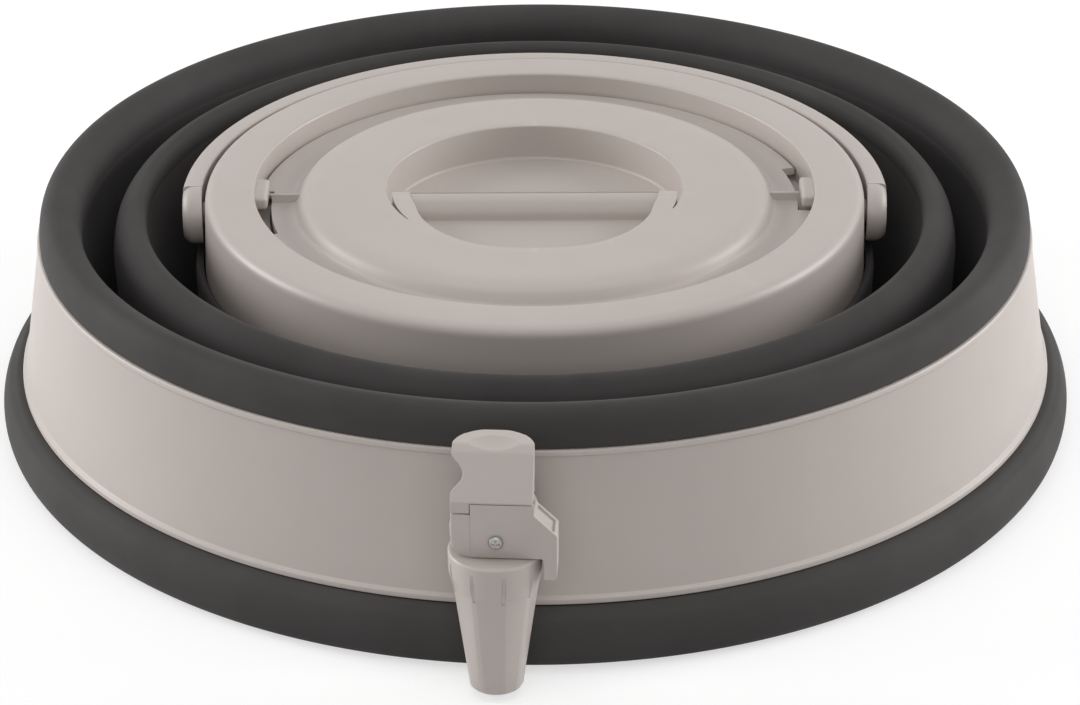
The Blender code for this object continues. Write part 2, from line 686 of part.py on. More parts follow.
def build_tap_seals(kit):
    """The wedge seal outside the band and the wedge washer inside it."""
    outer = kit.rod("tap_seal_outer", (0, -(BAND_TOP_RADIUS - BAND_WALL * 2), TAP_AXIS_Z),
                    (0, -(FLANGE_BACK - GAP), TAP_AXIS_Z), WASHER_RADIUS,
                    seal_rubber("seal_rubber_outer"))
    tap_turn(outer)
    boolean(outer, band_solid(kit, GAP), "DIFFERENCE")
    inner = kit.rod("tap_washer_inner", (0, -WASHER_FACE, TAP_AXIS_Z),
                    (0, -(BAND_BASE_RADIUS + BAND_WALL), TAP_AXIS_Z), WASHER_RADIUS,
                    seal_rubber("seal_rubber_inner"))
    tap_turn(inner)
    boolean(inner, band_solid(kit, -BAND_WALL - GAP), "INTERSECT")
    for ring in (outer, inner):
        bore = tap_rod(kit, SHANK_END, BODY_BACK, SHANK_RADIUS + GAP)
        tap_turn(bore)
        boolean(ring, bore, "DIFFERENCE")


def build_tap_nut(kit):
    """Six-sided nut on the shank inside the band."""
    nut = kit.rod("tap_nut", (0, -NUT_FACE, TAP_AXIS_Z), (0, -(WASHER_FACE - GAP), TAP_AXIS_Z),
                  WASHER_RADIUS, shell_plastic("shell_plastic_nut"), steps=6)
    nut.data.polygons.foreach_set("use_smooth", [False] * len(nut.data.polygons))
    tap_turn(nut)
    bore = tap_rod(kit, SHANK_END, WASHER_FACE + GAP, SHANK_RADIUS + GAP)
    tap_turn(bore)
    boolean(nut, bore, "DIFFERENCE")


def build_tap_body(kit):
    """Tap body: block, flange, shank, water way, pivot lug and side cheek."""
    foot_corner = 0.0042
    side_inset = 0.0009
    water_radius = 0.0020
    outlet_radius = 0.0030
    screw_depth = 0.0017
    lug_half = 0.0030
    cheek_depth = 0.0053
    lug_back = TAP_REACH + STEM_RADIUS + GAP
    lug_top = BODY_TOP_Z + LUG_RISE
    over = CUT_OVERRUN
    body = kit.block("tap_body", (BODY_LEFT, -BODY_FRONT, BODY_FOOT_Z),
                     (BODY_RIGHT - side_inset, -BODY_BACK, BODY_TOP_Z),
                     shell_plastic("shell_plastic_tap_body"))
    tap_turn(body)
    cut_foot = foot_corner + over
    foot_outline = [(BODY_LEFT - over, BODY_FOOT_Z - over), (BODY_LEFT + cut_foot, BODY_FOOT_Z - over),
                    (BODY_LEFT - over, BODY_FOOT_Z + cut_foot)]
    water_z = TAP_AXIS_Z + water_radius - BODY_BELOW / 2
    water = kit.rod(kit.cutter_name(), (0, -(SHANK_END - over), water_z),
                    (0, -TAP_REACH, water_z), water_radius)
    outlet = kit.rod(kit.cutter_name(), (0, -TAP_REACH, BODY_FOOT_Z - over),
                     (0, -TAP_REACH, water_z + water_radius), outlet_radius)
    stem_way = kit.rod(kit.cutter_name(), (0, -TAP_REACH, TAP_AXIS_Z),
                       (0, -TAP_REACH, BODY_TOP_Z + over), STEM_RADIUS + GAP, steps=PIN_STEPS)
    screw_way = kit.rod(kit.cutter_name(), (SCREW_SHIFT, -(BODY_FRONT + over), SCREW_Z),
                        (SCREW_SHIFT, -(BODY_FRONT - screw_depth), SCREW_Z), SCREW_RADIUS + GAP,
                        steps=PIN_STEPS)
    pin_way = kit.rod(kit.cutter_name(), (BODY_LEFT - over, -LEVER_PIVOT_Y, LEVER_PIVOT_Z),
                      (BODY_RIGHT, -LEVER_PIVOT_Y, LEVER_PIVOT_Z), LEVER_PIN_RADIUS + GAP,
                      steps=PIN_STEPS)
    lug = kit.block(kit.cutter_name(), (-lug_half, -(BODY_FRONT - GAP), BODY_TOP_Z - over),
                    (lug_half, -lug_back, lug_top))
    cheek = kit.block(kit.cutter_name(), (BODY_LEFT, -COVER_FRONT, BODY_FOOT_Z),
                      (CHEEK_RIGHT, -(COVER_FRONT - cheek_depth), TAB_FOOT_Z - GAP))
    relief = kit.plate(kit.cutter_name(), foot_outline, -COVER_FRONT - over, -BODY_BACK + over, "Y")
    steps = [(tap_rod(kit, BODY_BACK + over, FLANGE_BACK, FLANGE_RADIUS), "UNION"),
             (tap_rod(kit, BODY_BACK, SHANK_END, SHANK_RADIUS), "UNION"), (lug, "UNION"),
             (cheek, "UNION"), (relief, "DIFFERENCE"), (water, "DIFFERENCE"),
             (outlet, "DIFFERENCE"), (stem_way, "DIFFERENCE"), (screw_way, "DIFFERENCE"),
             (pin_way, "DIFFERENCE")]
    for tool, operation in steps:
        tap_turn(tool)
        boolean(body, tool, operation)


def build_tap_spout(kit):
    """Hollow tapering spout with a thicker rim and a flat top round the valve."""
    rim_height = 0.0075
    shoulder = 0.0009
    foot_radius = 0.0068
    edge = 0.0006
    wall = 0.0018
    valve_bore = 0.0050
    top_wall = 0.0012
    rim_top = BODY_FOOT_Z - GAP
    rim_foot = rim_top - rim_height
    cone_top = rim_foot - edge * 2
    cone_radius = SPOUT_RADIUS - shoulder
    foot = SPOUT_CLEARANCE
    top_foot = rim_top - top_wall
    section = [(valve_bore, rim_top), (SPOUT_RADIUS - edge, rim_top),
               (SPOUT_RADIUS, rim_top - edge), (SPOUT_RADIUS - edge / 2, rim_foot),
               (cone_radius, cone_top), (foot_radius, foot + edge),
               (foot_radius - edge, foot), (foot_radius - wall, foot),
               (cone_radius - wall, cone_top), (SPOUT_RADIUS - wall, rim_foot),
               (SPOUT_RADIUS - wall, top_foot), (valve_bore, top_foot)]
    spout = kit.turned("tap_spout", section, shell_plastic("shell_plastic_spout"),
                       steps=SMALL_STEPS)
    spout.location = (0, -TAP_REACH, 0)
    tap_turn(spout)


def build_tap_cover(kit):
    """Front cover of the tap with its side ear and hook."""
    hook_gap = 0.0006
    hook_width = 0.0032
    hook_drop = 0.0059
    hook_edge = 0.0008
    ear_rise = 0.0123
    ear_drop = 0.0058
    ear_depth = 0.0080
    left = CHEEK_RIGHT + GAP
    ear_step = BODY_RIGHT + GAP
    hook_left = SPOUT_RADIUS + hook_gap
    ear_right = hook_left + hook_width
    hook_foot = BODY_FOOT_Z - hook_drop
    foot = BODY_FOOT_Z
    ear_top = foot + ear_rise
    outline = [(left, foot), (ear_step + GAP, foot), (ear_step + GAP, COVER_TOP_Z),
               (left, COVER_TOP_Z)]
    cover = kit.plate("tap_cover", outline, -COVER_FRONT, -COVER_BACK, "Y",
                      shell_plastic("shell_plastic_cover"))
    tap_turn(cover)
    ear = [(ear_step, foot), (hook_left, foot), (hook_left, hook_foot),
           (ear_right - hook_edge, hook_foot), (ear_right, hook_foot + hook_edge),
           (ear_right, ear_top - ear_drop), (ear_step, ear_top)]
    side = kit.plate(kit.cutter_name(), ear, -COVER_FRONT + GAP / 3, -(COVER_FRONT - ear_depth), "Y")
    tap_turn(side)
    boolean(cover, side, "UNION")
    bore = kit.rod(kit.cutter_name(), (SCREW_SHIFT, -(COVER_FRONT + CUT_OVERRUN), SCREW_Z),
                   (SCREW_SHIFT, -(COVER_BACK - CUT_OVERRUN), SCREW_Z), SCREW_RADIUS + GAP,
                   steps=PIN_STEPS)
    tap_turn(bore)
    boolean(cover, bore, "DIFFERENCE")


def build_tap_screw(kit):
    """Cross-head screw through the cover."""
    head_radius = 0.0019
    head_height = 0.0007
    head_share = 0.8
    slot_half = 0.00025
    slot_reach = 0.0012
    slot_depth = 0.0006
    shaft_depth = 0.0013
    head_back = COVER_FRONT + GAP
    head_front = head_back + head_height
    screw = kit.rod("tap_screw", (SCREW_SHIFT, -head_back, SCREW_Z),
                    (SCREW_SHIFT, -head_front, SCREW_Z), head_radius, steel("steel_screw"),
                    end_radius=head_radius * head_share, steps=PIN_STEPS)
    tap_turn(screw)
    shaft = kit.rod(kit.cutter_name(), (SCREW_SHIFT, -(head_back + GAP), SCREW_Z),
                    (SCREW_SHIFT, -(BODY_FRONT - shaft_depth), SCREW_Z), SCREW_RADIUS,
                    steps=PIN_STEPS)
    tap_turn(shaft)
    boolean(screw, shaft, "UNION")
    for wide, tall in ((slot_reach, slot_half), (slot_half, slot_reach)):
        slot = kit.block(kit.cutter_name(),
                         (SCREW_SHIFT - wide, -head_front - slot_depth, SCREW_Z - tall),
                         (SCREW_SHIFT + wide, -head_front + slot_depth, SCREW_Z + tall))
        tap_turn(slot)
        boolean(screw, slot, "DIFFERENCE")


def build_tap_pin(kit):
    """Cross pin that the lever turns on."""
    left_reach = 0.0090
    right_reach = KNUCKLE_INNER + KNUCKLE_WIDTH + GAP
    pin = kit.rod("tap_lever_pin", (-left_reach, -LEVER_PIVOT_Y, LEVER_PIVOT_Z),
                  (right_reach, -LEVER_PIVOT_Y, LEVER_PIVOT_Z), LEVER_PIN_RADIUS,
                  steel("steel_pin"), steps=PIN_STEPS)
    tap_turn(pin)


def build_tap_lever(kit):
    """Push lever: bent strip with a waist and a dished round head, tab and knuckles."""
    head_height = 0.0121
    head_reach = 0.0173
    face_lean_deg = 33.6
    head_half_depth = 0.0087
    dish_share = 0.76
    dish_radius = 0.0026
    dish_depth = 0.0011
    foot = LEVER_FOOT_Z
    head_top = foot + head_height
    front = COVER_FRONT
    back = front - head_reach
    left = BODY_LEFT
    right = BODY_RIGHT + GAP
    head_half_width = (right - left) / 2
    head_centre = ((left + right) / 2, -(back + head_half_depth))
    side_shares = [(0.0, 0.0), (0.45, 0.0), (0.45, 0.24), (0.61, 0.57), (0.93, 0.73), (1.0, 0.80),
                   (1.0, 0.94), (0.97, 1.0), (0.50, 0.98), (0.40, 0.87), (0.0, 0.04)]
    side_outline = mapped(side_shares, (-front, foot), (-back, head_top))
    lever = kit.plate("tap_lever", side_outline, left, right, "X",
                      shell_plastic("shell_plastic_lever"))
    half_turn = arc((0, 0), 1, 0, 180, SMALL_STEPS)
    plan = [(right, -front - GAP)]
    plan += [(head_centre[0] + across * head_half_width,
              head_centre[1] + deep * head_half_depth) for across, deep in half_turn]
    plan.append((left, -front - GAP))
    tools = [(kit.plate(kit.cutter_name(), plan, foot - GAP, head_top + GAP), "INTERSECT")]
    waist_shares = [(1.0, -0.4), (1.0, 1.6), (0.0, 1.6), (0.0, 1.0), (0.03, 0.92), (0.08, 0.83),
                    (0.12, 0.73), (0.14, 0.62), (0.13, 0.52), (0.09, 0.42), (0.03, 0.31),
                    (0.0, 0.22), (0.0, -0.4)]
    waist = kit.plate(kit.cutter_name(), mapped(waist_shares, (left, 0), (right, head_height)),
                      -head_reach, head_reach, "Y")
    waist.data.transform(Matrix.Rotation(-math.radians(face_lean_deg), 4, "X"))
    waist.data.transform(Matrix.Translation((0, -front, foot)))
    tools.append((waist, "INTERSECT"))
    tab = kit.block(kit.cutter_name(), (left, -front, TAB_FOOT_Z),
                    (CHEEK_RIGHT, -LEVER_PIVOT_Y, foot + GAP))
    tools.append((tab, "UNION"))
    for side in (-1, 1):
        low_x, high_x = sorted((side * KNUCKLE_INNER, side * (KNUCKLE_INNER + KNUCKLE_WIDTH)))
        knuckle = kit.rod(kit.cutter_name(), (low_x, -LEVER_PIVOT_Y, LEVER_PIVOT_Z),
                          (high_x, -LEVER_PIVOT_Y, LEVER_PIVOT_Z), KNUCKLE_RADIUS,
                          steps=PIN_STEPS)
        tools.append((knuckle, "UNION"))
        half = KNUCKLE_RADIUS - GAP / 2
        neck = kit.block(kit.cutter_name(),
                         (low_x + GAP / 10, -LEVER_PIVOT_Y - half, LEVER_PIVOT_Z),
                         (high_x - GAP / 10, -LEVER_PIVOT_Y + half, foot + GAP))
        tools.append((neck, "UNION"))
    shape = bmesh.new()
    bmesh.ops.create_uvsphere(shape, u_segments=SMALL_STEPS, v_segments=PIN_STEPS, radius=1.0)
    bmesh.ops.scale(shape, vec=(head_half_width * dish_share, head_half_depth * dish_share,
                                dish_radius), verts=shape.verts)
    bmesh.ops.translate(shape, vec=(*head_centre, head_top + dish_radius - dish_depth),
                        verts=shape.verts)
    tools.append((kit.finish(kit.cutter_name(), shape, None), "DIFFERENCE"))
    bore = kit.rod(kit.cutter_name(), (left, -LEVER_PIVOT_Y, LEVER_PIVOT_Z),
                   (right, -LEVER_PIVOT_Y, LEVER_PIVOT_Z), LEVER_PIN_RADIUS + GAP,
                   steps=PIN_STEPS)
    tools.append((bore, "DIFFERENCE"))
    for tool, operation in tools:
        tap_turn(tool)
        boolean(lever, tool, operation)
    set_origin(lever, (0, -LEVER_PIVOT_Y, LEVER_PIVOT_Z))
    tap_turn(lever)


def build_tap_valve(kit):
    """Valve stem under the lever and its seal below the valve seat."""
    seal_thickness = 0.0016
    seal_radius = 0.0044
    stem_below = 0.0012
    seal_top = BODY_FOOT_Z - GAP
    seal_foot = seal_top - seal_thickness
    stem = kit.rod("tap_valve_stem", (0, 0, seal_foot - stem_below), (0, 0, LEVER_FOOT_Z - GAP * 2),
                   STEM_RADIUS, shell_plastic("shell_plastic_stem"), steps=PIN_STEPS)
    set_origin(stem, (0, 0, TAP_AXIS_Z))
    stem.location = (0, -TAP_REACH, TAP_AXIS_Z)
    tap_turn(stem)
    section = [(STEM_RADIUS + GAP, seal_top), (seal_radius, seal_top),
               (seal_radius, seal_foot), (STEM_RADIUS + GAP, seal_foot)]
    seal = kit.turned("tap_valve_seal", section, seal_rubber("seal_rubber_valve"),
                      steps=SMALL_STEPS)
    seal.location = (0, -TAP_REACH, 0)
    tap_turn(seal)


def main():
    """Build the whole carrier."""
    clear_scene()
    kit = Builder()
    build_base(kit)
    build_band(kit, build_tap_hole(kit))
    build_outer_rim(kit)
    build_folds(kit)
    build_middle_ring(kit)
    build_neck(kit)
    build_collar(kit)
    build_handle(kit)
    build_lid_seal(kit)
    build_lid(kit)
    build_tap_body(kit)
    build_tap_seals(kit)
    build_tap_nut(kit)
    build_tap_spout(kit)
    build_tap_cover(kit)
    build_tap_screw(kit)
    build_tap_pin(kit)
    build_tap_lever(kit)
    build_tap_valve(kit)


main()
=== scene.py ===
"""Looks of a collapsible water carrier, stored flat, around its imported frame.

Every length is in metres. The foot stands on z = 0 and the tap points to -Y.
"""

import logging
import math
from collections.abc import Callable, Iterator, Sequence
from contextlib import contextmanager
from dataclasses import dataclass
from enum import Enum

import bmesh
import bpy
from mathutils import Matrix, Vector


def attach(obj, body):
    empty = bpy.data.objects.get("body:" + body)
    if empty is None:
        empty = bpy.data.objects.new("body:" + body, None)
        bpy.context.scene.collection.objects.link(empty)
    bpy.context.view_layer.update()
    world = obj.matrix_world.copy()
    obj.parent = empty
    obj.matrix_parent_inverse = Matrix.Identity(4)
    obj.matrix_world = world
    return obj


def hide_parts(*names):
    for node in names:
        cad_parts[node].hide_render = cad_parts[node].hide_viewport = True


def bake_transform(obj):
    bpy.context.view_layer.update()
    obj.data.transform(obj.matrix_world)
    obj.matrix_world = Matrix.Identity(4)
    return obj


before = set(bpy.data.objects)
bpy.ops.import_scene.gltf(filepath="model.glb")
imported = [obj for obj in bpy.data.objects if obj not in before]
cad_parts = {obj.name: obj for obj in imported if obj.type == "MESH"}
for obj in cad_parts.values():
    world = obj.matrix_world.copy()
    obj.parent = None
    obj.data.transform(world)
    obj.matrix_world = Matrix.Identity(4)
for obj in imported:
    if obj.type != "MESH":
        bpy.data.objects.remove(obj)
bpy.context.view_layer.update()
LOG = logging.getLogger("water_carrier")

Pair = tuple[float, float]
Corner = tuple[float, float, float]
Point = tuple[float, float, float]
Rgb = tuple[float, float, float]
Rule = Callable[[Vector, Vector], bool]
Piece = bpy.types.Object
Socket = bpy.types.NodeSocket
Given = object
Inputs = dict[str | int, object]

ROUND_STEPS = 288
SMALL_ROUND_STEPS = 96
MERGE_DISTANCE = 0.000002
SMOOTH_ANGLE = math.radians(32)
SHARP_ANGLE = math.radians(30)
GAP = 0.0003
HAIR = 0.0001
OVERSHOOT = 0.0012
WHITE = (1.0, 1.0, 1.0, 1.0)
SOCKET_KINDS = {"Place": "Vector", "Colour": "Color", "Second": "Color", "Rubbed": "Color",
                "Dust": "Color"}


class Slot(Enum):
    """Material slots of the record."""

    SHELL = "shell_plastic"
    SOFT = "soft_wall"
    SEAL = "seal_rubber"
    STEEL = "steel"


class Cut(Enum):
    """Ways of joining one solid with another."""

    ADD = "UNION"
    TAKE = "DIFFERENCE"
    KEEP = "INTERSECT"


# Section drawing


def rounded(corners: Sequence[Corner], facets: int = 5) -> list[Pair]:
    """Round the corners of a closed section.

    Args:
        corners: Distance across, height and rounding of each corner.
        facets: Short straight parts in each rounding.

    Returns:
        The section's points, in the same order.
    """
    points: list[Pair] = []
    for index, (across, height, radius) in enumerate(corners):
        here = Vector((across, height))
        if radius <= 0:
            points.append((across, height))
            continue
        before = Vector(corners[index - 1][:2]) - here
        after = Vector(corners[(index + 1) % len(corners)][:2]) - here
        half = before.angle(after) / 2
        reach = min(radius / math.tan(half), before.length * 0.48, after.length * 0.48)
        start = here + before.normalized() * reach
        end = here + after.normalized() * reach
        for step in range(facets + 1):
            share = step / facets
            bend = start.lerp(here, share).lerp(here.lerp(end, share), share)
            points.append((bend.x, bend.y))
    return points


def flowing(points: Sequence[Pair], facets: int = 6) -> list[Pair]:
    """Draw a smooth curve through points.

    Args:
        points: Points that the curve passes through, ends included.
        facets: Short straight parts between two points.

    Returns:
        The curve's points.
    """
    spots = [Vector(point) for point in points]
    spots = [spots[0] * 2 - spots[1], *spots, spots[-1] * 2 - spots[-2]]
    curve: list[Pair] = []
    for index in range(1, len(spots) - 2):
        group = spots[index - 1:index + 3]
        knots = [0.0]
        for first, second in zip(group, group[1:]):
            knots.append(knots[-1] + max((second - first).length, MERGE_DISTANCE) ** 0.5)
        for step in range(facets):
            curve.append(tuple(between(group, knots, step / facets)))
    curve.append(tuple(spots[-2]))
    return curve


def between(group: Sequence[Vector], knots: Sequence[float], share: float) -> Vector:
    """Find a point of the smooth curve through four spots.

    Args:
        group: Four neighbouring spots.
        knots: Their places along the curve.
        share: Share of the way from the second spot to the third.

    Returns:
        The point.
    """
    at = knots[1] + (knots[2] - knots[1]) * share
    row = list(group)
    for level in range(1, 4):
        row = [row[i] + (row[i + 1] - row[i]) * span(knots, i, level, at)
               for i in range(4 - level)] if level < 3 else [
            row[0] + (row[1] - row[0]) * ((at - knots[1]) / (knots[2] - knots[1]))]
    return row[0]


def span(knots: Sequence[float], index: int, level: int, at: float) -> float:
    """Share of the way that a place lies between two knots.

    Args:
        knots: Places of four spots along a curve.
        index: First spot of the pair.
        level: Round of the curve's construction, 1 or 2.
        at: The place.

    Returns:
        The share.
    """
    low, high = knots[index], knots[index + level]
    return (at - low) / (high - low)


def mapped(shares: Sequence[Pair], low: Pair, high: Pair) -> list[Pair]:
    """Map pairs of shares to pairs of lengths between two corners."""
    return [(low[0] + (high[0] - low[0]) * across, low[1] + (high[1] - low[1]) * up)
            for across, up in shares]


def walled(path: Sequence[Pair], thickness: float) -> list[Pair]:
    """Give an open section a wall on the right of its direction.

    Args:
        path: The visible side, from its inner end.
        thickness: Wall thickness.

    Returns:
        A closed section.
    """
    spots = [Vector(point) for point in path]
    inner: list[Pair] = []
    for index, spot in enumerate(spots):
        before = (spot - spots[max(index - 1, 0)]).normalized()
        after = (spots[min(index + 1, len(spots) - 1)] - spot).normalized()
        along = (before + after).normalized()
        lean = max(along.dot(after if after.length else before), 0.5)
        side = Vector((along.y, -along.x)) * (thickness / lean)
        inner.append(tuple(spot + side))
    return [*path, *reversed(inner)]


def arc(centre: Pair, radius: float, start: float, end: float, steps: int) -> list[Pair]:
    """Points of an arc.

    Args:
        centre: Centre of the circle.
        radius: Its radius.
        start: First angle in degrees.
        end: Last angle in degrees.
        steps: Straight parts of the arc.

    Returns:
        The points, both ends included.
    """
    angles = [math.radians(start + (end - start) * step / steps) for step in range(steps + 1)]
    return [(centre[0] + radius * math.cos(angle), centre[1] + radius * math.sin(angle))
            for angle in angles]


# The bench


class Bench:
    """Works one piece at a time with Blender's modelling tools."""

    def clear(self) -> None:
        """Leave edit mode and deselect everything."""
        if bpy.context.object is not None and bpy.context.object.mode != "OBJECT":
            bpy.ops.object.mode_set(mode="OBJECT")
        bpy.ops.object.select_all(action="DESELECT")

    def take(self, piece: Piece) -> None:
        """Select one piece and make it active."""
        self.clear()
        piece.select_set(True)
        bpy.context.view_layer.objects.active = piece

    @contextmanager
    def editing(self, piece: Piece, choose: str = "VERT",
                action: str = "SELECT") -> Iterator[None]:
        """Work on a piece in edit mode, with all of it selected or none of it.

        Args:
            piece: The piece.
            choose: VERT, EDGE or FACE.
            action: SELECT or DESELECT.
        """
        self.take(piece)
        bpy.ops.object.mode_set(mode="EDIT")
        bpy.ops.mesh.select_mode(type=choose)
        bpy.ops.mesh.select_all(action=action)
        yield
        bpy.ops.object.mode_set(mode="OBJECT")

    def begin(self, name: str) -> Piece:
        """Name the primitive that was just added and put its place in its mesh."""
        piece = bpy.context.object
        piece.name = name
        piece.data.name = name
        self.settle(piece)
        return piece

    def settle(self, piece: Piece) -> None:
        """Move a piece's place, turn and scale into its mesh."""
        self.take(piece)
        bpy.ops.object.transform_apply(location=True, rotation=True, scale=True)

    def wire(self, name: str, points: Sequence[Point], closed: bool) -> Piece:
        """Draw a line of edges point by point.

        Args:
            name: Name of the piece.
            points: Places of the points.
            closed: Whether the last point joins the first.

        Returns:
            The piece, without faces.
        """
        self.clear()
        bpy.ops.mesh.primitive_plane_add(size=0.001, location=points[0])
        piece = self.begin(name)
        with self.editing(piece):
            bpy.ops.mesh.merge(type="CENTER")
            for here, there in zip(points, points[1:]):
                step = Vector(there) - Vector(here)
                bpy.ops.mesh.extrude_region_move(TRANSFORM_OT_translate={"value": step})
            if closed:
                shape = bmesh.from_edit_mesh(piece.data)
                shape.verts.ensure_lookup_table()
                for spot in shape.verts:
                    spot.select_set(False)
                shape.verts[0].select_set(True)
                shape.verts[-1].select_set(True)
                shape.select_flush_mode()
                bmesh.update_edit_mesh(piece.data)
                bpy.ops.mesh.edge_face_add()
        return piece

    def turned(self, name: str, section: Sequence[Pair], closed: bool = True,
               steps: int = ROUND_STEPS, angle: float = math.tau) -> Piece:
        """Turn a section about the Z axis.

        Args:
            name: Name of the piece.
            section: Radius and height of each point.
            closed: Whether the section is a loop; otherwise both ends lie on the axis.
            steps: Steps round the circle.
            angle: Angle turned.

        Returns:
            The closed piece.
        """
        piece = self.wire(name, [(radius, 0.0, height) for radius, height in section], closed)
        with self.editing(piece):
            bpy.ops.mesh.spin(steps=steps, angle=angle, center=(0.0, 0.0, 0.0),
                              axis=(0.0, 0.0, -1.0))
            if angle < math.tau:
                self.cap_ends(piece)
            self.mend()
        return piece

    def cap_ends(self, piece: Piece) -> None:
        """Fill the two open ends of a part turn, in edit mode."""
        bpy.ops.mesh.select_all(action="SELECT")
        bpy.ops.mesh.remove_doubles(threshold=MERGE_DISTANCE)
        bpy.ops.mesh.select_all(action="DESELECT")
        bpy.ops.mesh.select_non_manifold(extend=False, use_wire=False, use_multi_face=False,
                                         use_non_contiguous=False, use_verts=False)
        bpy.ops.mesh.edge_face_add()

    def mend(self) -> None:
        """Merge doubles and turn the faces outwards, in edit mode."""
        bpy.ops.mesh.select_all(action="SELECT")
        bpy.ops.mesh.remove_doubles(threshold=MERGE_DISTANCE)
        bpy.ops.mesh.normals_make_consistent(inside=False)

    def prism(self, name: str, outline: Sequence[Pair], low: float, high: float,
              axis: str = "Z") -> Piece:
        """Raise a flat outline to a solid.

        Args:
            name: Name of the piece.
            outline: Pairs (x, y) for Z, (x, z) for Y and (y, z) for X.
            low: First level on the axis.
            high: Last level on the axis.
            axis: Axis of the extrusion.

        Returns:
            The closed piece.
        """
        order = {"Z": lambda a, b: (a, b, low), "Y": lambda a, b: (a, low, b),
                 "X": lambda a, b: (low, a, b)}[axis]
        along = {"Z": (0, 0, 1), "Y": (0, 1, 0), "X": (1, 0, 0)}[axis]
        piece = self.wire(name, [order(*pair) for pair in outline], True)
        with self.editing(piece):
            bpy.ops.mesh.edge_face_add()
            bpy.ops.mesh.extrude_region_move(
                TRANSFORM_OT_translate={"value": Vector(along) * (high - low)})
            self.mend()
        return piece

    def sunk(self, name: str, outline: Sequence[Pair], top: float,
             steps: Sequence[Pair]) -> Piece:
        """Sink a flat outline downwards in steps that close in on themselves.

        Args:
            name: Name of the piece.
            outline: Pairs (x, y) of the widest outline.
            top: Height of the start.
            steps: How far each step closes in, and how far it drops.

        Returns:
            The closed piece.
        """
        piece = self.wire(name, [(x, y, top) for x, y in outline], True)
        with self.editing(piece):
            bpy.ops.mesh.edge_face_add()
            bpy.ops.mesh.extrude_region_move(
                TRANSFORM_OT_translate={"value": (0.0, 0.0, -steps[0][1])})
            for inset, drop in steps[1:]:
                bpy.ops.mesh.inset(thickness=inset, depth=0.0, use_even_offset=True)
                bpy.ops.transform.translate(value=(0.0, 0.0, -drop))
            self.mend()
        return piece

    def block(self, name: str, low: Point, high: Point, bevel: float = 0.0,
              segments: int = 3) -> Piece:
        """Make a block with rounded edges.

        Args:
            name: Name of the piece.
            low: One corner.
            high: The opposite corner.
            bevel: Rounding of its edges.
            segments: Steps of the rounding.

        Returns:
            The closed piece.
        """
        self.clear()
        corner, other = Vector(low), Vector(high)
        size = other - corner
        bpy.ops.mesh.primitive_cube_add(size=1.0, location=(corner + other) / 2,
                                        scale=tuple(abs(side) for side in size))
        piece = self.begin(name)
        if bevel > 0:
            with self.editing(piece, "EDGE"):
                bpy.ops.mesh.bevel(offset=bevel, segments=segments, clamp_overlap=True)
        return piece

    def rod(self, name: str, start: Point, end: Point, radius: float, tip: float | None = None,
            bevel: float = 0.0, steps: int = 64) -> Piece:
        """Make a round or tapering rod.

        Args:
            name: Name of the piece.
            start: Centre of one end.
            end: Centre of the other end.
            radius: Radius at the start.
            tip: Radius at the end, the same where it is left out.
            bevel: Rounding of both rims.
            steps: Steps round the rod.

        Returns:
            The closed piece.
        """
        self.clear()
        first, last = Vector(start), Vector(end)
        along = last - first
        turn = Vector((0, 0, 1)).rotation_difference(along).to_euler()
        bpy.ops.mesh.primitive_cone_add(
            vertices=steps, radius1=radius, radius2=radius if tip is None else tip,
            depth=along.length, location=(first + last) / 2, rotation=turn)
        piece = self.begin(name)
        if bevel > 0:
            direction = along.normalized()
            self.round_edges(
                piece, lambda a, b: abs((a - b).normalized().dot(direction)) < 0.1, bevel)
        return piece

    def round_edges(self, piece: Piece, wanted: Rule, width: float, segments: int = 3) -> None:
        """Round the edges that a rule picks by the places of their ends.

        Args:
            piece: The piece.
            wanted: Rule for an edge's two ends.
            width: Width of the rounding.
            segments: Steps of the rounding.
        """
        with self.editing(piece, "EDGE", "DESELECT"):
            shape = bmesh.from_edit_mesh(piece.data)
            for edge in shape.edges:
                if wanted(edge.verts[0].co, edge.verts[1].co):
                    edge.select_set(True)
            bmesh.update_edit_mesh(piece.data)
            bpy.ops.mesh.bevel(offset=width, segments=segments, clamp_overlap=True)

    def soften(self, piece: Piece, width: float, segments: int = 3,
               spare: Rule | None = None) -> None:
        """Round the sharp edges of a piece.

        Args:
            piece: The piece.
            width: Width of the rounding.
            segments: Steps of the rounding.
            spare: Rule for the two ends of an edge that stays sharp.
        """
        with self.editing(piece, "EDGE"):
            shape = bmesh.from_edit_mesh(piece.data)
            marks = shape.edges.layers.float.new("bevel_weight_edge")
            for edge in shape.edges:
                ends = [corner.co for corner in edge.verts]
                sharp = edge.calc_face_angle(0.0) > SHARP_ANGLE
                edge[marks] = float(sharp and not (spare is not None and spare(*ends)))
            bmesh.update_edit_mesh(piece.data)
        step = piece.modifiers.new("soft_edges", "BEVEL")
        step.width = width
        step.segments = segments
        step.limit_method = "WEIGHT"
        step.miter_outer = "MITER_ARC"
        self.apply(piece, step)

    def melt(self, piece: Piece, grain: float, rounds: int) -> None:
        """Run the edges of a piece into each other, as in a soft moulding.

        Args:
            piece: The piece.
            grain: Size of the new faces.
            rounds: How often the faces are evened out.
        """
        step = piece.modifiers.new("remesh", "REMESH")
        step.mode = "VOXEL"
        step.voxel_size = grain
        self.apply(piece, step)
        step = piece.modifiers.new("even_out", "SMOOTH")
        step.factor = 0.5
        step.iterations = rounds
        self.apply(piece, step)

    def apply(self, piece: Piece, step: bpy.types.Modifier) -> None:
        """Apply one modifier."""
        self.take(piece)
        bpy.ops.object.modifier_apply(modifier=step.name)

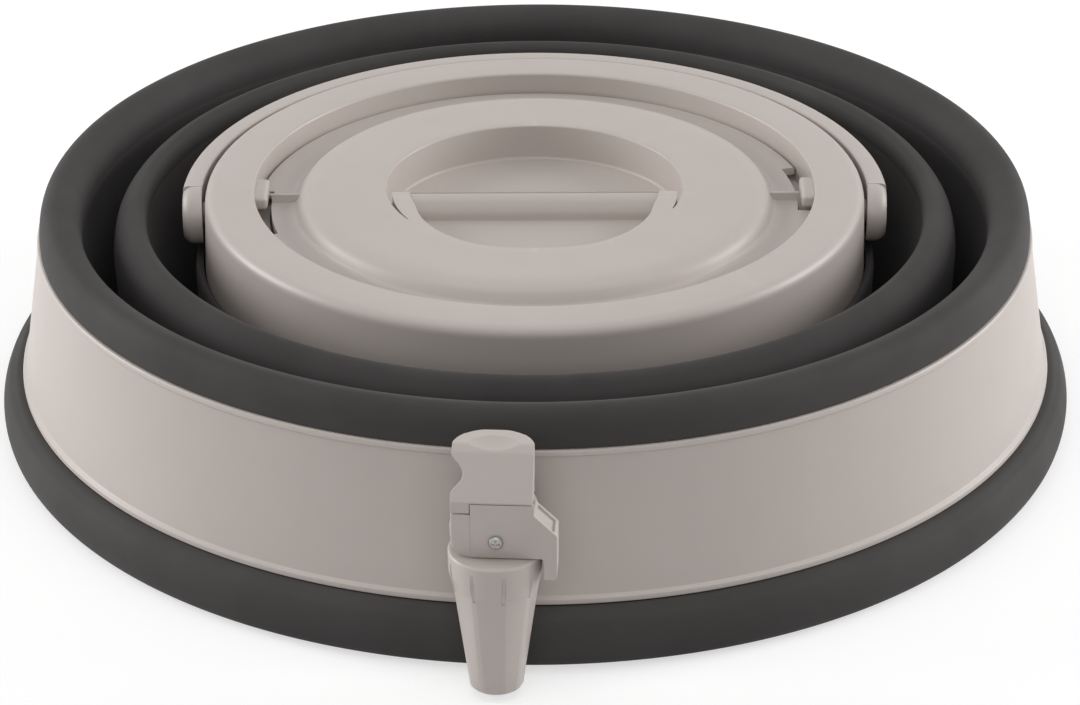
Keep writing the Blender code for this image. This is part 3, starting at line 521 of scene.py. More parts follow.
    def join(self, piece: Piece, other: Piece, cut: Cut) -> None:
        """Join a piece with another solid and use that solid up.

        Args:
            piece: The piece that stays.
            other: The solid that is used up.
            cut: How they are joined.
        """
        step = piece.modifiers.new("join", "BOOLEAN")
        step.operation = cut.value
        step.solver = "EXACT"
        step.object = other
        self.apply(piece, step)
        bpy.data.objects.remove(other, do_unlink=True)

    def smooth(self, piece: Piece) -> None:
        """Shade a piece smooth except at its sharp edges."""
        self.take(piece)
        bpy.ops.object.shade_smooth_by_angle(angle=SMOOTH_ANGLE)

    def swing(self, piece: Piece, angle: float) -> None:
        """Turn a piece about the carrier's axis.

        Args:
            piece: The piece.
            angle: Angle about Z.
        """
        piece.rotation_euler = (0.0, 0.0, angle)
        self.settle(piece)


# Finishes


class Desk:
    """Places and joins the nodes of one shader tree."""

    def __init__(self, tree: bpy.types.NodeTree) -> None:
        """Take the tree to work on.

        Args:
            tree: The tree.
        """
        self.tree = tree

    def fill(self, node: bpy.types.Node, values: Inputs) -> None:
        """Give a node's inputs their values, or join them to sockets.

        Args:
            node: The node.
            values: Value or socket by the input's name or place.
        """
        for key, value in values.items():
            if isinstance(value, Socket):
                self.tree.links.new(value, node.inputs[key])
            else:
                node.inputs[key].default_value = value

    def node(self, kind: str, values: Inputs | None = None,
             **settings: object) -> bpy.types.Node:
        """Add a node.

        Args:
            kind: Blender's name of the node type.
            values: Value or socket by the input's name or place.
            settings: Properties of the node.

        Returns:
            The node.
        """
        made = self.tree.nodes.new(kind)
        for key, value in settings.items():
            setattr(made, key, value)
        self.fill(made, values or {})
        return made

    def times(self, first: Given, second: Given) -> Socket:
        """Multiply two values."""
        return self.node("ShaderNodeMath", {0: first, 1: second},
                         operation="MULTIPLY").outputs[0]

    def plus(self, first: Given, second: Given) -> Socket:
        """Add two values."""
        return self.node("ShaderNodeMath", {0: first, 1: second}, operation="ADD").outputs[0]

    def mix(self, share: Given, first: Given, second: Given) -> Socket:
        """Mix two colours by a share.

        Args:
            share: Share of the second colour, from 0 to 1.
            first: Colour at 0.
            second: Colour at 1.

        Returns:
            The colour's socket.
        """
        return self.node("ShaderNodeMix", {0: share, 6: first, 7: second},
                         data_type="RGBA").outputs[2]

    def spread(self, value: Socket, low: float, high: float, to_low: float = 0.0,
               to_high: float = 1.0) -> Socket:
        """Map a value from one range to another, held at its ends.

        Args:
            value: The value.
            low: Start of its range.
            high: End of its range.
            to_low: Result at the start.
            to_high: Result at the end.

        Returns:
            The result's socket.
        """
        return self.node("ShaderNodeMapRange", {
            "Value": value, "From Min": low, "From Max": high, "To Min": to_low,
            "To Max": to_high}).outputs["Result"]


class GroupDesk(Desk):
    """Desk on a new node group, whose sockets get their kind by their name."""

    def __init__(self, name: str, inputs: Sequence[str], outputs: Sequence[str]) -> None:
        """Start the group.

        Args:
            name: Name of the group.
            inputs: Names of its inputs.
            outputs: Names of its outputs.
        """
        super().__init__(bpy.data.node_groups.new(name, "ShaderNodeTree"))
        for way, titles in (("INPUT", inputs), ("OUTPUT", outputs)):
            for title in titles:
                kind = SOCKET_KINDS.get(title, "Float")
                self.tree.interface.new_socket(title, in_out=way,
                                               socket_type=f"NodeSocket{kind}")
        self.inlet = self.node("NodeGroupInput")
        self.outlet = self.node("NodeGroupOutput")

    def given(self, title: str) -> Socket:
        """Socket of one of the group's inputs."""
        return self.inlet.outputs[title]

    def noise(self, scale: Given, detail: float, rough: float) -> Socket:
        """Add a noise texture on the group's own place input.

        Args:
            scale: Scale of the noise.
            detail: Finer layers.
            rough: Share that each finer layer keeps.

        Returns:
            The noise value's socket.
        """
        return self.node("ShaderNodeTexNoise", {
            "Vector": self.given("Place"), "Scale": scale, "Detail": detail,
            "Roughness": rough}).outputs["Fac"]

    def laid(self, mask: Socket, over: str) -> bpy.types.NodeTree:
        """Lay a second colour over the group's colour and end the group.

        Args:
            mask: Share of the second colour.
            over: Name of its input.

        Returns:
            The finished group.
        """
        colour = self.mix(mask, self.given("Colour"), self.given(over))
        self.fill(self.outlet, {"Colour": colour, "Mask": mask})
        return self.tree


class Effects:
    """Node groups that the finishes share, each built once."""

    def __init__(self) -> None:
        """Build the groups."""
        self.mottle = self.build_mottle()
        self.grain = self.build_grain()
        self.wear = self.build_wear()
        self.scuff = self.build_scuff()
        self.dust = self.build_dust()

    def build_mottle(self) -> bpy.types.NodeTree:
        """Soft cloudy variation of a colour, wide and narrow."""
        desk = GroupDesk("soft_mottle", ("Place", "Colour", "Second", "Scale", "Depth"),
                         ("Colour", "Mask"))
        wide = desk.noise(desk.given("Scale"), 3.0, 0.55)
        fine = desk.noise(desk.times(desk.given("Scale"), 9.0), 2.0, 0.5)
        both = desk.plus(desk.times(wide, 0.7), desk.times(fine, 0.3))
        return desk.laid(desk.times(desk.spread(both, 0.32, 0.68), desk.given("Depth")), "Second")

    def build_grain(self) -> bpy.types.NodeTree:
        """Height of the fine moulded grain over a slow waviness."""
        desk = GroupDesk("moulded_grain", ("Place", "Grain Scale", "Wave Scale", "Wave Height"),
                         ("Height",))
        fine = desk.noise(desk.given("Grain Scale"), 2.0, 0.6)
        cells = desk.node("ShaderNodeTexVoronoi", {
            "Vector": desk.given("Place"), "Scale": desk.times(desk.given("Grain Scale"), 0.6)},
            feature="SMOOTH_F1")
        slow = desk.noise(desk.given("Wave Scale"), 1.0, 0.4)
        pitted = desk.plus(fine, desk.times(cells.outputs["Distance"], 0.5))
        height = desk.plus(pitted, desk.times(slow, desk.given("Wave Height")))
        desk.fill(desk.outlet, {"Height": height})
        return desk.tree

    def build_wear(self) -> bpy.types.NodeTree:
        """Rubbed lighter places along outward edges, broken by noise."""
        desk = GroupDesk("edge_wear", ("Place", "Colour", "Rubbed", "Amount"), ("Colour", "Mask"))
        shape = desk.node("ShaderNodeNewGeometry")
        edge = desk.spread(shape.outputs["Pointiness"], 0.52, 0.60)
        patch = desk.spread(desk.noise(90.0, 4.0, 0.6), 0.38, 0.66, 0.15)
        return desk.laid(desk.times(desk.times(edge, patch), desk.given("Amount")), "Rubbed")

    def build_scuff(self) -> bpy.types.NodeTree:
        """Faint long rub marks, as a mask."""
        desk = GroupDesk("faint_scuffs", ("Place", "Scale"), ("Mask",))
        stretch = desk.node("ShaderNodeMapping", {
            "Vector": desk.given("Place"), "Scale": (1.0, 7.0, 3.0), "Rotation": (0.3, 0.2, 0.6)})
        marks = desk.node("ShaderNodeTexNoise", {
            "Vector": stretch.outputs["Vector"], "Scale": desk.given("Scale"), "Detail": 5.0,
            "Roughness": 0.7})
        thin = desk.spread(marks.outputs["Fac"], 0.60, 0.72)
        zone = desk.spread(desk.noise(22.0, 2.0, 0.5), 0.45, 0.65)
        desk.fill(desk.outlet, {"Mask": desk.times(thin, zone)})
        return desk.tree

    def build_dust(self) -> bpy.types.NodeTree:
        """Pale dust that gathers in hollows and lies as fine specks."""
        desk = GroupDesk("settled_dust", ("Place", "Colour", "Dust", "Amount"),
                         ("Colour", "Mask"))
        shape = desk.node("ShaderNodeNewGeometry")
        hollow = desk.spread(shape.outputs["Pointiness"], 0.40, 0.49, 1.0, 0.0)
        cloud = desk.spread(desk.noise(60.0, 5.0, 0.65), 0.42, 0.70)
        specks = desk.spread(desk.noise(900.0, 1.0, 0.5), 0.70, 0.78, 0.0, 0.6)
        film = desk.times(desk.plus(hollow, 0.35), cloud)
        return desk.laid(desk.times(desk.plus(film, specks), desk.given("Amount")), "Dust")


@dataclass(frozen=True)
class MouldedFinish:
    """A moulded surface: mottled colour, grain, rubbed edges and dust."""

    name: str
    colour: Rgb
    second: Rgb
    rubbed: Rgb
    dust: Rgb
    roughness: Pair
    mottle_scale: float = 14.0
    mottle_depth: float = 0.8
    wear: float = 0.3
    dust_amount: float = 0.1
    grain_scale: float = 1500.0
    grain_depth: float = 0.00003
    grain_strength: float = 0.25
    wave_scale: float = 11.0
    wave_height: float = 6.0
    scuff_scale: float = 120.0
    scuff_polish: float = -0.08
    sheen: float = 0.0
    sheen_roughness: float = 0.5
    refraction: float = 1.47
    specular: float = 0.5
    metallic: float = 0.0

    def material(self, effects: Effects) -> bpy.types.Material:
        """Make the material.

        Args:
            effects: The shared node groups.

        Returns:
            The material.
        """
        made = bpy.data.materials.new(self.name)
        made.use_nodes = True
        desk = Desk(made.node_tree)
        place = desk.node("ShaderNodeTexCoord").outputs["Object"]
        mottle = self.shared(desk, effects.mottle, place, {
            "Colour": (*self.colour, 1.0), "Second": (*self.second, 1.0),
            "Scale": self.mottle_scale, "Depth": self.mottle_depth})
        wear = self.shared(desk, effects.wear, place, {
            "Colour": mottle.outputs["Colour"], "Rubbed": (*self.rubbed, 1.0),
            "Amount": self.wear})
        dust = self.shared(desk, effects.dust, place, {
            "Colour": wear.outputs["Colour"], "Dust": (*self.dust, 1.0),
            "Amount": self.dust_amount})
        scuff = self.shared(desk, effects.scuff, place, {"Scale": self.scuff_scale})
        grain = self.shared(desk, effects.grain, place, {
            "Grain Scale": self.grain_scale, "Wave Scale": self.wave_scale,
            "Wave Height": self.wave_height})
        patch = desk.node("ShaderNodeTexNoise", {
            "Vector": place, "Scale": 34.0, "Detail": 4.0, "Roughness": 0.6})
        base = desk.spread(patch.outputs["Fac"], 0.3, 0.7, *self.roughness)
        polish = desk.times(scuff.outputs["Mask"], self.scuff_polish)
        dull = desk.times(dust.outputs["Mask"], 0.25)
        bump = desk.node("ShaderNodeBump", {
            "Height": grain.outputs["Height"], "Strength": self.grain_strength,
            "Distance": self.grain_depth})
        desk.fill(made.node_tree.nodes["Principled BSDF"], {
            "IOR": self.refraction, "Specular IOR Level": self.specular,
            "Metallic": self.metallic, "Sheen Weight": self.sheen,
            "Sheen Roughness": self.sheen_roughness, "Base Color": dust.outputs["Colour"],
            "Roughness": desk.plus(desk.plus(base, polish), dull),
            "Normal": bump.outputs["Normal"]})
        return made

    def shared(self, desk: Desk, group: bpy.types.NodeTree, place: Socket,
               values: Inputs) -> bpy.types.Node:
        """Place a shared group in the material.

        Args:
            desk: Desk on the material.
            group: The group.
            place: Socket of the object's own place.
            values: Values of the group's other inputs.

        Returns:
            The group's node.
        """
        return desk.node("ShaderNodeGroup", {"Place": place, **values}, node_tree=group)


@dataclass(frozen=True)
class FinishSet:
    """The four finishes of the carrier."""

    shell: MouldedFinish = MouldedFinish(
        "warm_grey_shell", (0.505, 0.452, 0.422), (0.478, 0.428, 0.396),
        (0.600, 0.560, 0.535), (0.60, 0.57, 0.53), (0.36, 0.47), dust_amount=0.06)
    soft: MouldedFinish = MouldedFinish(
        "charcoal_soft_wall", (0.062, 0.058, 0.057), (0.050, 0.0465, 0.0455),
        (0.088, 0.083, 0.081), (0.16, 0.15, 0.145), (0.66, 0.80), mottle_scale=18.0,
        wear=0.2, dust_amount=0.09, grain_scale=1900.0, grain_depth=0.00004,
        grain_strength=0.35, wave_height=9.0, scuff_polish=-0.12, sheen=0.02, specular=0.13)
    seal: MouldedFinish = MouldedFinish(
        "black_seal_rubber", (0.022, 0.022, 0.023), (0.016, 0.016, 0.017),
        (0.060, 0.060, 0.062), (0.14, 0.14, 0.13), (0.45, 0.60), grain_scale=2400.0,
        dust_amount=0.10, wear=0.25)
    steel: MouldedFinish = MouldedFinish(
        "turned_steel", (0.36, 0.355, 0.35), (0.30, 0.295, 0.29), (0.50, 0.50, 0.49),
        (0.30, 0.28, 0.25), (0.38, 0.50), mottle_scale=160.0, grain_scale=5200.0,
        grain_strength=0.4, wear=0.6, dust_amount=0.12, metallic=1.0, refraction=1.5)


class Paint:
    """Keeps one material for each slot and puts it on pieces."""

    def __init__(self, finishes: FinishSet) -> None:
        """Make the materials."""
        effects = Effects()
        self.materials = {slot: finish.material(effects) for slot, finish in (
            (Slot.SHELL, finishes.shell), (Slot.SOFT, finishes.soft),
            (Slot.SEAL, finishes.seal), (Slot.STEEL, finishes.steel))}

    def put(self, piece: Piece, slot: Slot) -> None:
        """Give a piece its slot's material."""
        piece.data.materials.clear()
        piece.data.materials.append(self.materials[slot])

    def carry_over(self, node: str, slot: Slot) -> None:
        """Give a CAD node that stays its slot's material."""
        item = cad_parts[node]
        for place in item.material_slots:
            place.material = self.materials[slot]
        LOG.info("kept %s with %s", node, slot.value)


@dataclass
class SubAssembly:
    """What every sub-assembly has: a bench and a paint set."""

    bench: Bench
    paint: Paint

    def done(self, piece: Piece, body: str, slot: Slot, node: str) -> None:
        """Dress a finished piece and hang it on a body.

        Args:
            piece: The piece.
            body: Body that it rides on.
            slot: Its finish.
            node: CAD node that it replaces.
        """
        self.dress(piece, slot, node)
        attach(piece, body)

    def dress(self, piece: Piece, slot: Slot, node: str) -> None:
        """Smooth a piece, give it its finish and log its size.

        Args:
            piece: The piece.
            slot: Its finish.
            node: CAD node that it replaces.
        """
        self.bench.smooth(piece)
        self.paint.put(piece, slot)
        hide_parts(node)
        piece.data.calc_loop_triangles()
        LOG.info("%s: %d triangles", piece.name, len(piece.data.loop_triangles))


# The carrier's own sub-assemblies


@dataclass
class Band(SubAssembly):
    """Hard tapering band with a thin lip along both edges."""

    base_radius: float = 0.1475
    top_radius: float = 0.1412
    base_z: float = 0.0162
    top_z: float = 0.0570
    wall: float = 0.0022
    lip: float = 0.0007
    lip_height: float = 0.0014
    foot_lip: float = 0.0010
    edge: float = 0.0003
    hole_radius: float = 0.0068
    hole_z: float = 0.0438

    def radius_at(self, height: float) -> float:
        """Outer radius at a height."""
        share = (height - self.base_z) / (self.top_z - self.base_z)
        return self.base_radius + (self.top_radius - self.base_radius) * share

    def build(self, yaw: float) -> None:
        """Build the band with the tap's hole.

        Args:
            yaw: Angle of the tap about the carrier's axis.
        """
        under = self.top_z - self.lip_height
        over = self.base_z + self.lip_height
        corners = [
            (self.top_radius - self.wall, self.top_z, self.edge),
            (self.top_radius + self.edge, self.top_z, self.edge * 2),
            (self.radius_at(under) + self.lip / 2, under, self.edge),
            (self.radius_at(under), under - self.lip / 2, self.edge),
            (self.radius_at(over), over + self.lip, self.edge),
            (self.radius_at(over) + self.foot_lip, over, self.edge),
            (self.base_radius + self.foot_lip, self.base_z, self.edge),
            (self.base_radius - self.wall, self.base_z, self.edge)]
        band = self.bench.turned("band_shell", rounded(corners, 4))
        hole = self.bench.rod("hole", (0, -self.top_radius + self.wall * 4, self.hole_z),
                              (0, -self.base_radius - self.wall * 4, self.hole_z),
                              self.hole_radius)
        self.bench.swing(hole, yaw)
        self.bench.join(band, hole, Cut.TAKE)
        self.done(band, "base", Slot.SHELL, "band")


@dataclass
class Foot(SubAssembly):
    """Soft foot ring and floor in one moulding."""

    band: Band
    radius: float = 0.1546
    height: float = 0.0159
    floor_wall: float = 0.0030
    upstand: float = 0.0116
    upstand_wall: float = 0.0024
    floor_corner: float = 0.0080
    pad_width: float = 0.0110
    groove: float = 0.0005

    def build(self) -> None:
        """Build the foot with its rolled rim and its floor."""
        band = self.band
        top = band.base_z + self.upstand
        inner_foot = band.radius_at(band.base_z) - band.wall - GAP
        inner_top = band.radius_at(top) - band.wall - GAP
        seat = band.base_radius + band.foot_lip + GAP
        rim = mapped([(0.0, 1.0), (0.22, 0.985), (0.44, 0.93), (0.66, 0.86), (0.85, 0.72),
                      (0.96, 0.58), (1.0, 0.43), (0.96, 0.28), (0.84, 0.15), (0.62, 0.05),
                      (0.30, 0.0)],
                     (seat, 0.0), (self.radius, self.height))
        inside = rounded([
            (inner_foot - self.floor_corner, self.floor_wall, 0.004),
            (inner_foot - self.upstand_wall, self.floor_wall * 2, 0.003),
            (inner_top - self.upstand_wall, top, 0.0006), (inner_top, top, 0.0006),
            (inner_foot, self.height, 0.0)], 4)
        pad = seat - self.pad_width
        under = [(pad + self.groove * 2, 0.0), (pad + self.groove, self.groove),
                 (pad, self.groove), (pad - self.groove, 0.0)]
        section = [(0.0, self.floor_wall), *inside, *flowing(rim, 5), *under, (0.0, 0.0)]
        foot = self.bench.turned("foot_and_floor", section, closed=False)
        self.done(foot, "base", Slot.SOFT, "base_foot_and_floor")


@dataclass
class Bellows(SubAssembly):
    """Soft bellows: outer roll, middle ring, neck and the two folds."""

    band: Band
    wall: float = 0.0020
    neck_wall: float = 0.0019
    rim_inner: float = 0.1290
    rim_outer: float = 0.1408
    rim_low: float = 0.0578
    rim_top: float = 0.0673
    mid_inner: float = 0.1106
    mid_outer: float = 0.1202
    mid_top: float = 0.0638
    mid_shoulder: float = 0.0528
    mid_wall_radius: float = 0.1195
    outer_fold_radius: float = 0.1250
    inner_fold_radius: float = 0.1022
    neck_radius: float = 0.0972
    cuff_top: float = 0.0468
    valley_low: float = 0.0082
    valley_high: float = 0.0118
    fold_low: float = 0.0121
    fold_top: float = 0.0575
    tuck: float = 0.0010
    lean: float = 0.0004
    straight: float = 0.0100

    def build_rim(self) -> None:
        """Build the outer roll with the lap inside the band."""
        lap, lap_wall = 0.0032, 0.0019
        seat = self.band.top_z + GAP
        roll = mapped([(0.0, 0.0), (0.01, 0.22), (0.05, 0.46), (0.13, 0.66), (0.27, 0.85),
                       (0.45, 0.97), (0.62, 1.0), (0.78, 0.92), (0.90, 0.74), (0.97, 0.48),
                       (1.0, 0.18)],
                      (self.rim_inner, self.rim_low), (self.rim_outer, self.rim_top))
        lap_top = self.band.radius_at(seat) - self.band.wall - GAP
        lap_low = seat - GAP - lap
        lap_foot = self.band.radius_at(lap_low) - self.band.wall - GAP
        under = mapped([(0.0, 0.0), (0.05, 0.38), (0.24, 0.76), (0.50, 1.0), (0.74, 0.90),
                        (0.90, 0.45)],
                       (self.rim_inner + self.wall, self.rim_low),
                       (self.rim_outer - self.wall, self.rim_top - self.wall))
        section = [*flowing(roll, 4), (self.rim_outer, seat), (lap_top, seat),
                   (lap_foot, lap_low), (lap_foot - lap_wall, lap_low),
                   (lap_top - lap_wall, seat), *reversed(flowing(under, 3))]
        rim = self.bench.turned("bellows_rim_roll", section)
        self.done(rim, "base", Slot.SOFT, "bellows_outer_rim")

    def valley(self, inner: float, outer: float) -> list[Pair]:
        """Rounded bottom between two walls, from its inner end."""
        shares = [(0.0, 1.0), (0.06, 0.52), (0.22, 0.16), (0.5, 0.0), (0.78, 0.16),
                  (0.94, 0.52), (1.0, 1.0)]
        return mapped(shares, (inner, self.valley_low), (outer, self.valley_high))

    def build_middle(self) -> None:
        """Build the middle ring with its roll, wall and valley."""
        roll = mapped([(0.0, 0.0), (0.0, 0.26), (0.03, 0.56), (0.11, 0.83), (0.28, 1.0),
                       (0.48, 0.92), (0.68, 0.62), (0.88, 0.12)],
                      (self.mid_inner, self.rim_low), (self.mid_outer, self.mid_top))
        wall = [(self.mid_outer, self.mid_shoulder),
                (self.mid_outer - HAIR * 2, self.mid_shoulder - self.straight),
                (self.mid_wall_radius + HAIR, self.valley_high + self.straight)]
        path = flowing([*roll, *wall, *self.valley(self.mid_wall_radius,
                                                   self.outer_fold_radius)], 4)
        ring = self.bench.turned("bellows_middle_wall", walled(path, self.wall))
        self.done(ring, "middle_ring", Slot.SOFT, "bellows_middle_ring")

    def build_neck(self) -> None:
        """Build the innermost wall with the cuff round the collar."""
        path = [(self.neck_radius - 0.0006, self.cuff_top + HAIR),
                (self.neck_radius, self.cuff_top - 0.0008),
                (self.neck_radius, self.cuff_top - self.straight),
                (self.neck_radius, self.valley_high + self.straight)]
        path = flowing([*path, *self.valley(self.neck_radius, self.inner_fold_radius)], 4)
        neck = self.bench.turned("bellows_neck_wall", walled(path, self.neck_wall))
        self.done(neck, "collar", Slot.SOFT, "bellows_neck")

    def build_fold(self, name: str, node: str, foot: float, top: float,
                   outer_body: str, inner_body: str) -> None:
        """Build a fixed slanting wall from a fold's low end to its high end, hung on no body.

        Args:
            name: Name of the piece.
            node: CAD node that it replaces.
            foot: Radius at the fold's low end.
            top: Radius at its high end.
            outer_body: Body at the high end, not used.
            inner_body: Body at the low end, not used.
        """
        steps = 28
        path = [(foot + self.lean, self.fold_low - self.tuck), (foot, self.fold_low)]
        path += mapped([(step / steps, step / steps) for step in range(1, steps)],
                       (foot, self.fold_low), (top, self.fold_top))
        path += [(top, self.fold_top), (top + self.lean, self.fold_top + self.tuck)]
        fold = self.bench.turned(name, walled(path, self.wall))
        self.dress(fold, Slot.SOFT, node)
        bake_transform(fold)

    def build(self) -> None:
        """Build the whole bellows."""
        self.build_rim()
        self.build_middle()
        self.build_neck()
        self.build_fold("bellows_outer_wall", "bellows_outer_fold", self.outer_fold_radius,
                        self.rim_inner, "base", "middle_ring")
        self.build_fold("bellows_inner_wall", "bellows_inner_fold", self.inner_fold_radius,
                        self.mid_inner, "middle_ring", "collar")


@dataclass
class Neck(SubAssembly):
    """Hard collar, its carrying handle and the lid's seal."""

    bore: float = 0.0798
    radius: float = 0.0938
    top: float = 0.0670
    edge: float = 0.0034
    wall: float = 0.0022
    wall_foot_radius: float = 0.0950
    wall_foot: float = 0.0338
    seat: float = 0.0564
    seat_bore: float = 0.0725
    block_inner: float = 0.0760
    block_half: float = 0.00685
    block_low: float = 0.0611
    block_top: float = 0.0652
    pivot_z: float = 0.0572
    pin_radius: float = 0.0033
    hoop_inner: float = 0.0949
    hoop_outer: float = 0.1005
    hoop_low: float = 0.0558
    hoop_top: float = 0.0658
    hoop_small: float = 0.0006
    hoop_large: float = 0.0016
    end_radius: float = 0.0085

    def build_collar(self) -> None:
        """Build the collar with its two catch blocks and pivot bores."""
        bench, small, catch_round = self.bench, 0.0004, 0.0012
        corners = [
            (self.bore, self.top, 0.0008), (self.radius, self.top, self.edge),
            (self.wall_foot_radius, self.wall_foot, small),
            (self.wall_foot_radius - self.wall, self.wall_foot, small),
            (self.radius - self.wall, self.top - self.wall, 0.0012),
            (self.bore + self.wall, self.top - self.wall, 0.0006),
            (self.bore + self.wall, self.seat - self.wall, small),
            (self.seat_bore, self.seat - self.wall, small), (self.seat_bore, self.seat, small),
            (self.bore, self.seat, small)]
        collar = bench.turned("neck_collar", rounded(corners, 6))
        for side in (-1, 1):
            low, high = sorted((side * self.block_inner, side * (self.bore + self.wall / 2)))
            catch = bench.block("catch", (low, -self.block_half, self.block_low),
                                (high, self.block_half, self.block_top), catch_round, 5)
            bench.join(collar, catch, Cut.ADD)
            bore = bench.rod("bore", *self.on_pivot(side, self.radius - self.wall * 2,
                                                    self.radius + self.wall),
                             self.pin_radius + GAP)
            bench.join(collar, bore, Cut.TAKE)
        self.done(collar, "collar", Slot.SHELL, "collar")

    def on_pivot(self, side: int, start: float, end: float) -> tuple[Point, Point]:
        """Two points on the handle's pivot axis by their distances from the middle."""
        return (side * start, 0, self.pivot_z), (side * end, 0, self.pivot_z)

    def hoop_section(self, low: float, sliver: float) -> list[Pair]:
        """Section of the hoop from a level up, drawn in by a sliver."""
        inner, outer = self.hoop_inner + sliver, self.hoop_outer - sliver
        top, small, large = self.hoop_top - sliver, self.hoop_small, self.hoop_large
        return rounded([(inner, low, small), (outer, low, large), (outer, top, large),
                        (inner, top, small)], 5)

    def build_handle(self) -> None:
        """Build the half hoop with its two round ends and pivot pins."""
        bench, sliver, steps, end_round, close = self.bench, 0.00002, 10, 0.0034, 0.00001
        hoop = bench.turned("carry_handle", self.hoop_section(self.hoop_low, 0.0),
                            steps=ROUND_STEPS // 2, angle=math.pi)
        foot = self.pivot_z - self.end_radius - self.hoop_small
        for side in (-1, 1):
            end = bench.turned("end", self.hoop_section(foot, sliver), steps=steps,
                               angle=math.tau * steps / ROUND_STEPS)
            middle = math.pi / 2 * (1 - side)
            bench.swing(end, middle - math.pi * steps / ROUND_STEPS)
            ends = self.on_pivot(side, self.hoop_inner - 0.004, self.hoop_outer + GAP)
            disc = bench.rod("disc", *ends, self.end_radius, steps=SMALL_ROUND_STEPS)
            rim = ends[1][0]
            bench.round_edges(
                disc, lambda a, b, rim=rim: max(abs(a.x - rim), abs(b.x - rim)) < close,
                end_round, 8)
            bench.join(end, disc, Cut.KEEP)
            bench.join(hoop, end, Cut.ADD)
            ends = self.on_pivot(side, self.radius - self.wall - 0.0021,
                                 self.hoop_inner + OVERSHOOT)
            pin = bench.rod("pin", *ends, self.pin_radius, bevel=0.0004)
            bench.join(hoop, pin, Cut.ADD)
        self.done(hoop, "handle", Slot.SHELL, "handle")

    def build_seal(self) -> None:
        """Build the flat seal with a raised bead on each side."""
        inner, outer, low, high, shave = 0.0731, 0.0757, 0.0567, 0.0583, 0.0003
        bead = (inner + outer) / 2
        section = flowing([
            (inner, low + shave), (inner, high - shave), (inner + shave, high - shave),
            (bead, high), (outer - shave, high - shave), (outer, high - shave * 2),
            (outer, low + shave * 2), (outer - shave, low + shave), (bead, low),
            (inner + shave, low + shave)], 3)
        seal = self.bench.turned("lid_seal_ring", section)
        self.done(seal, "lid_seal", Slot.SEAL, "lid_seal")

    def build(self) -> None:
        """Build the collar, the handle and the seal."""
        self.build_collar()
        self.build_handle()
        self.build_seal()


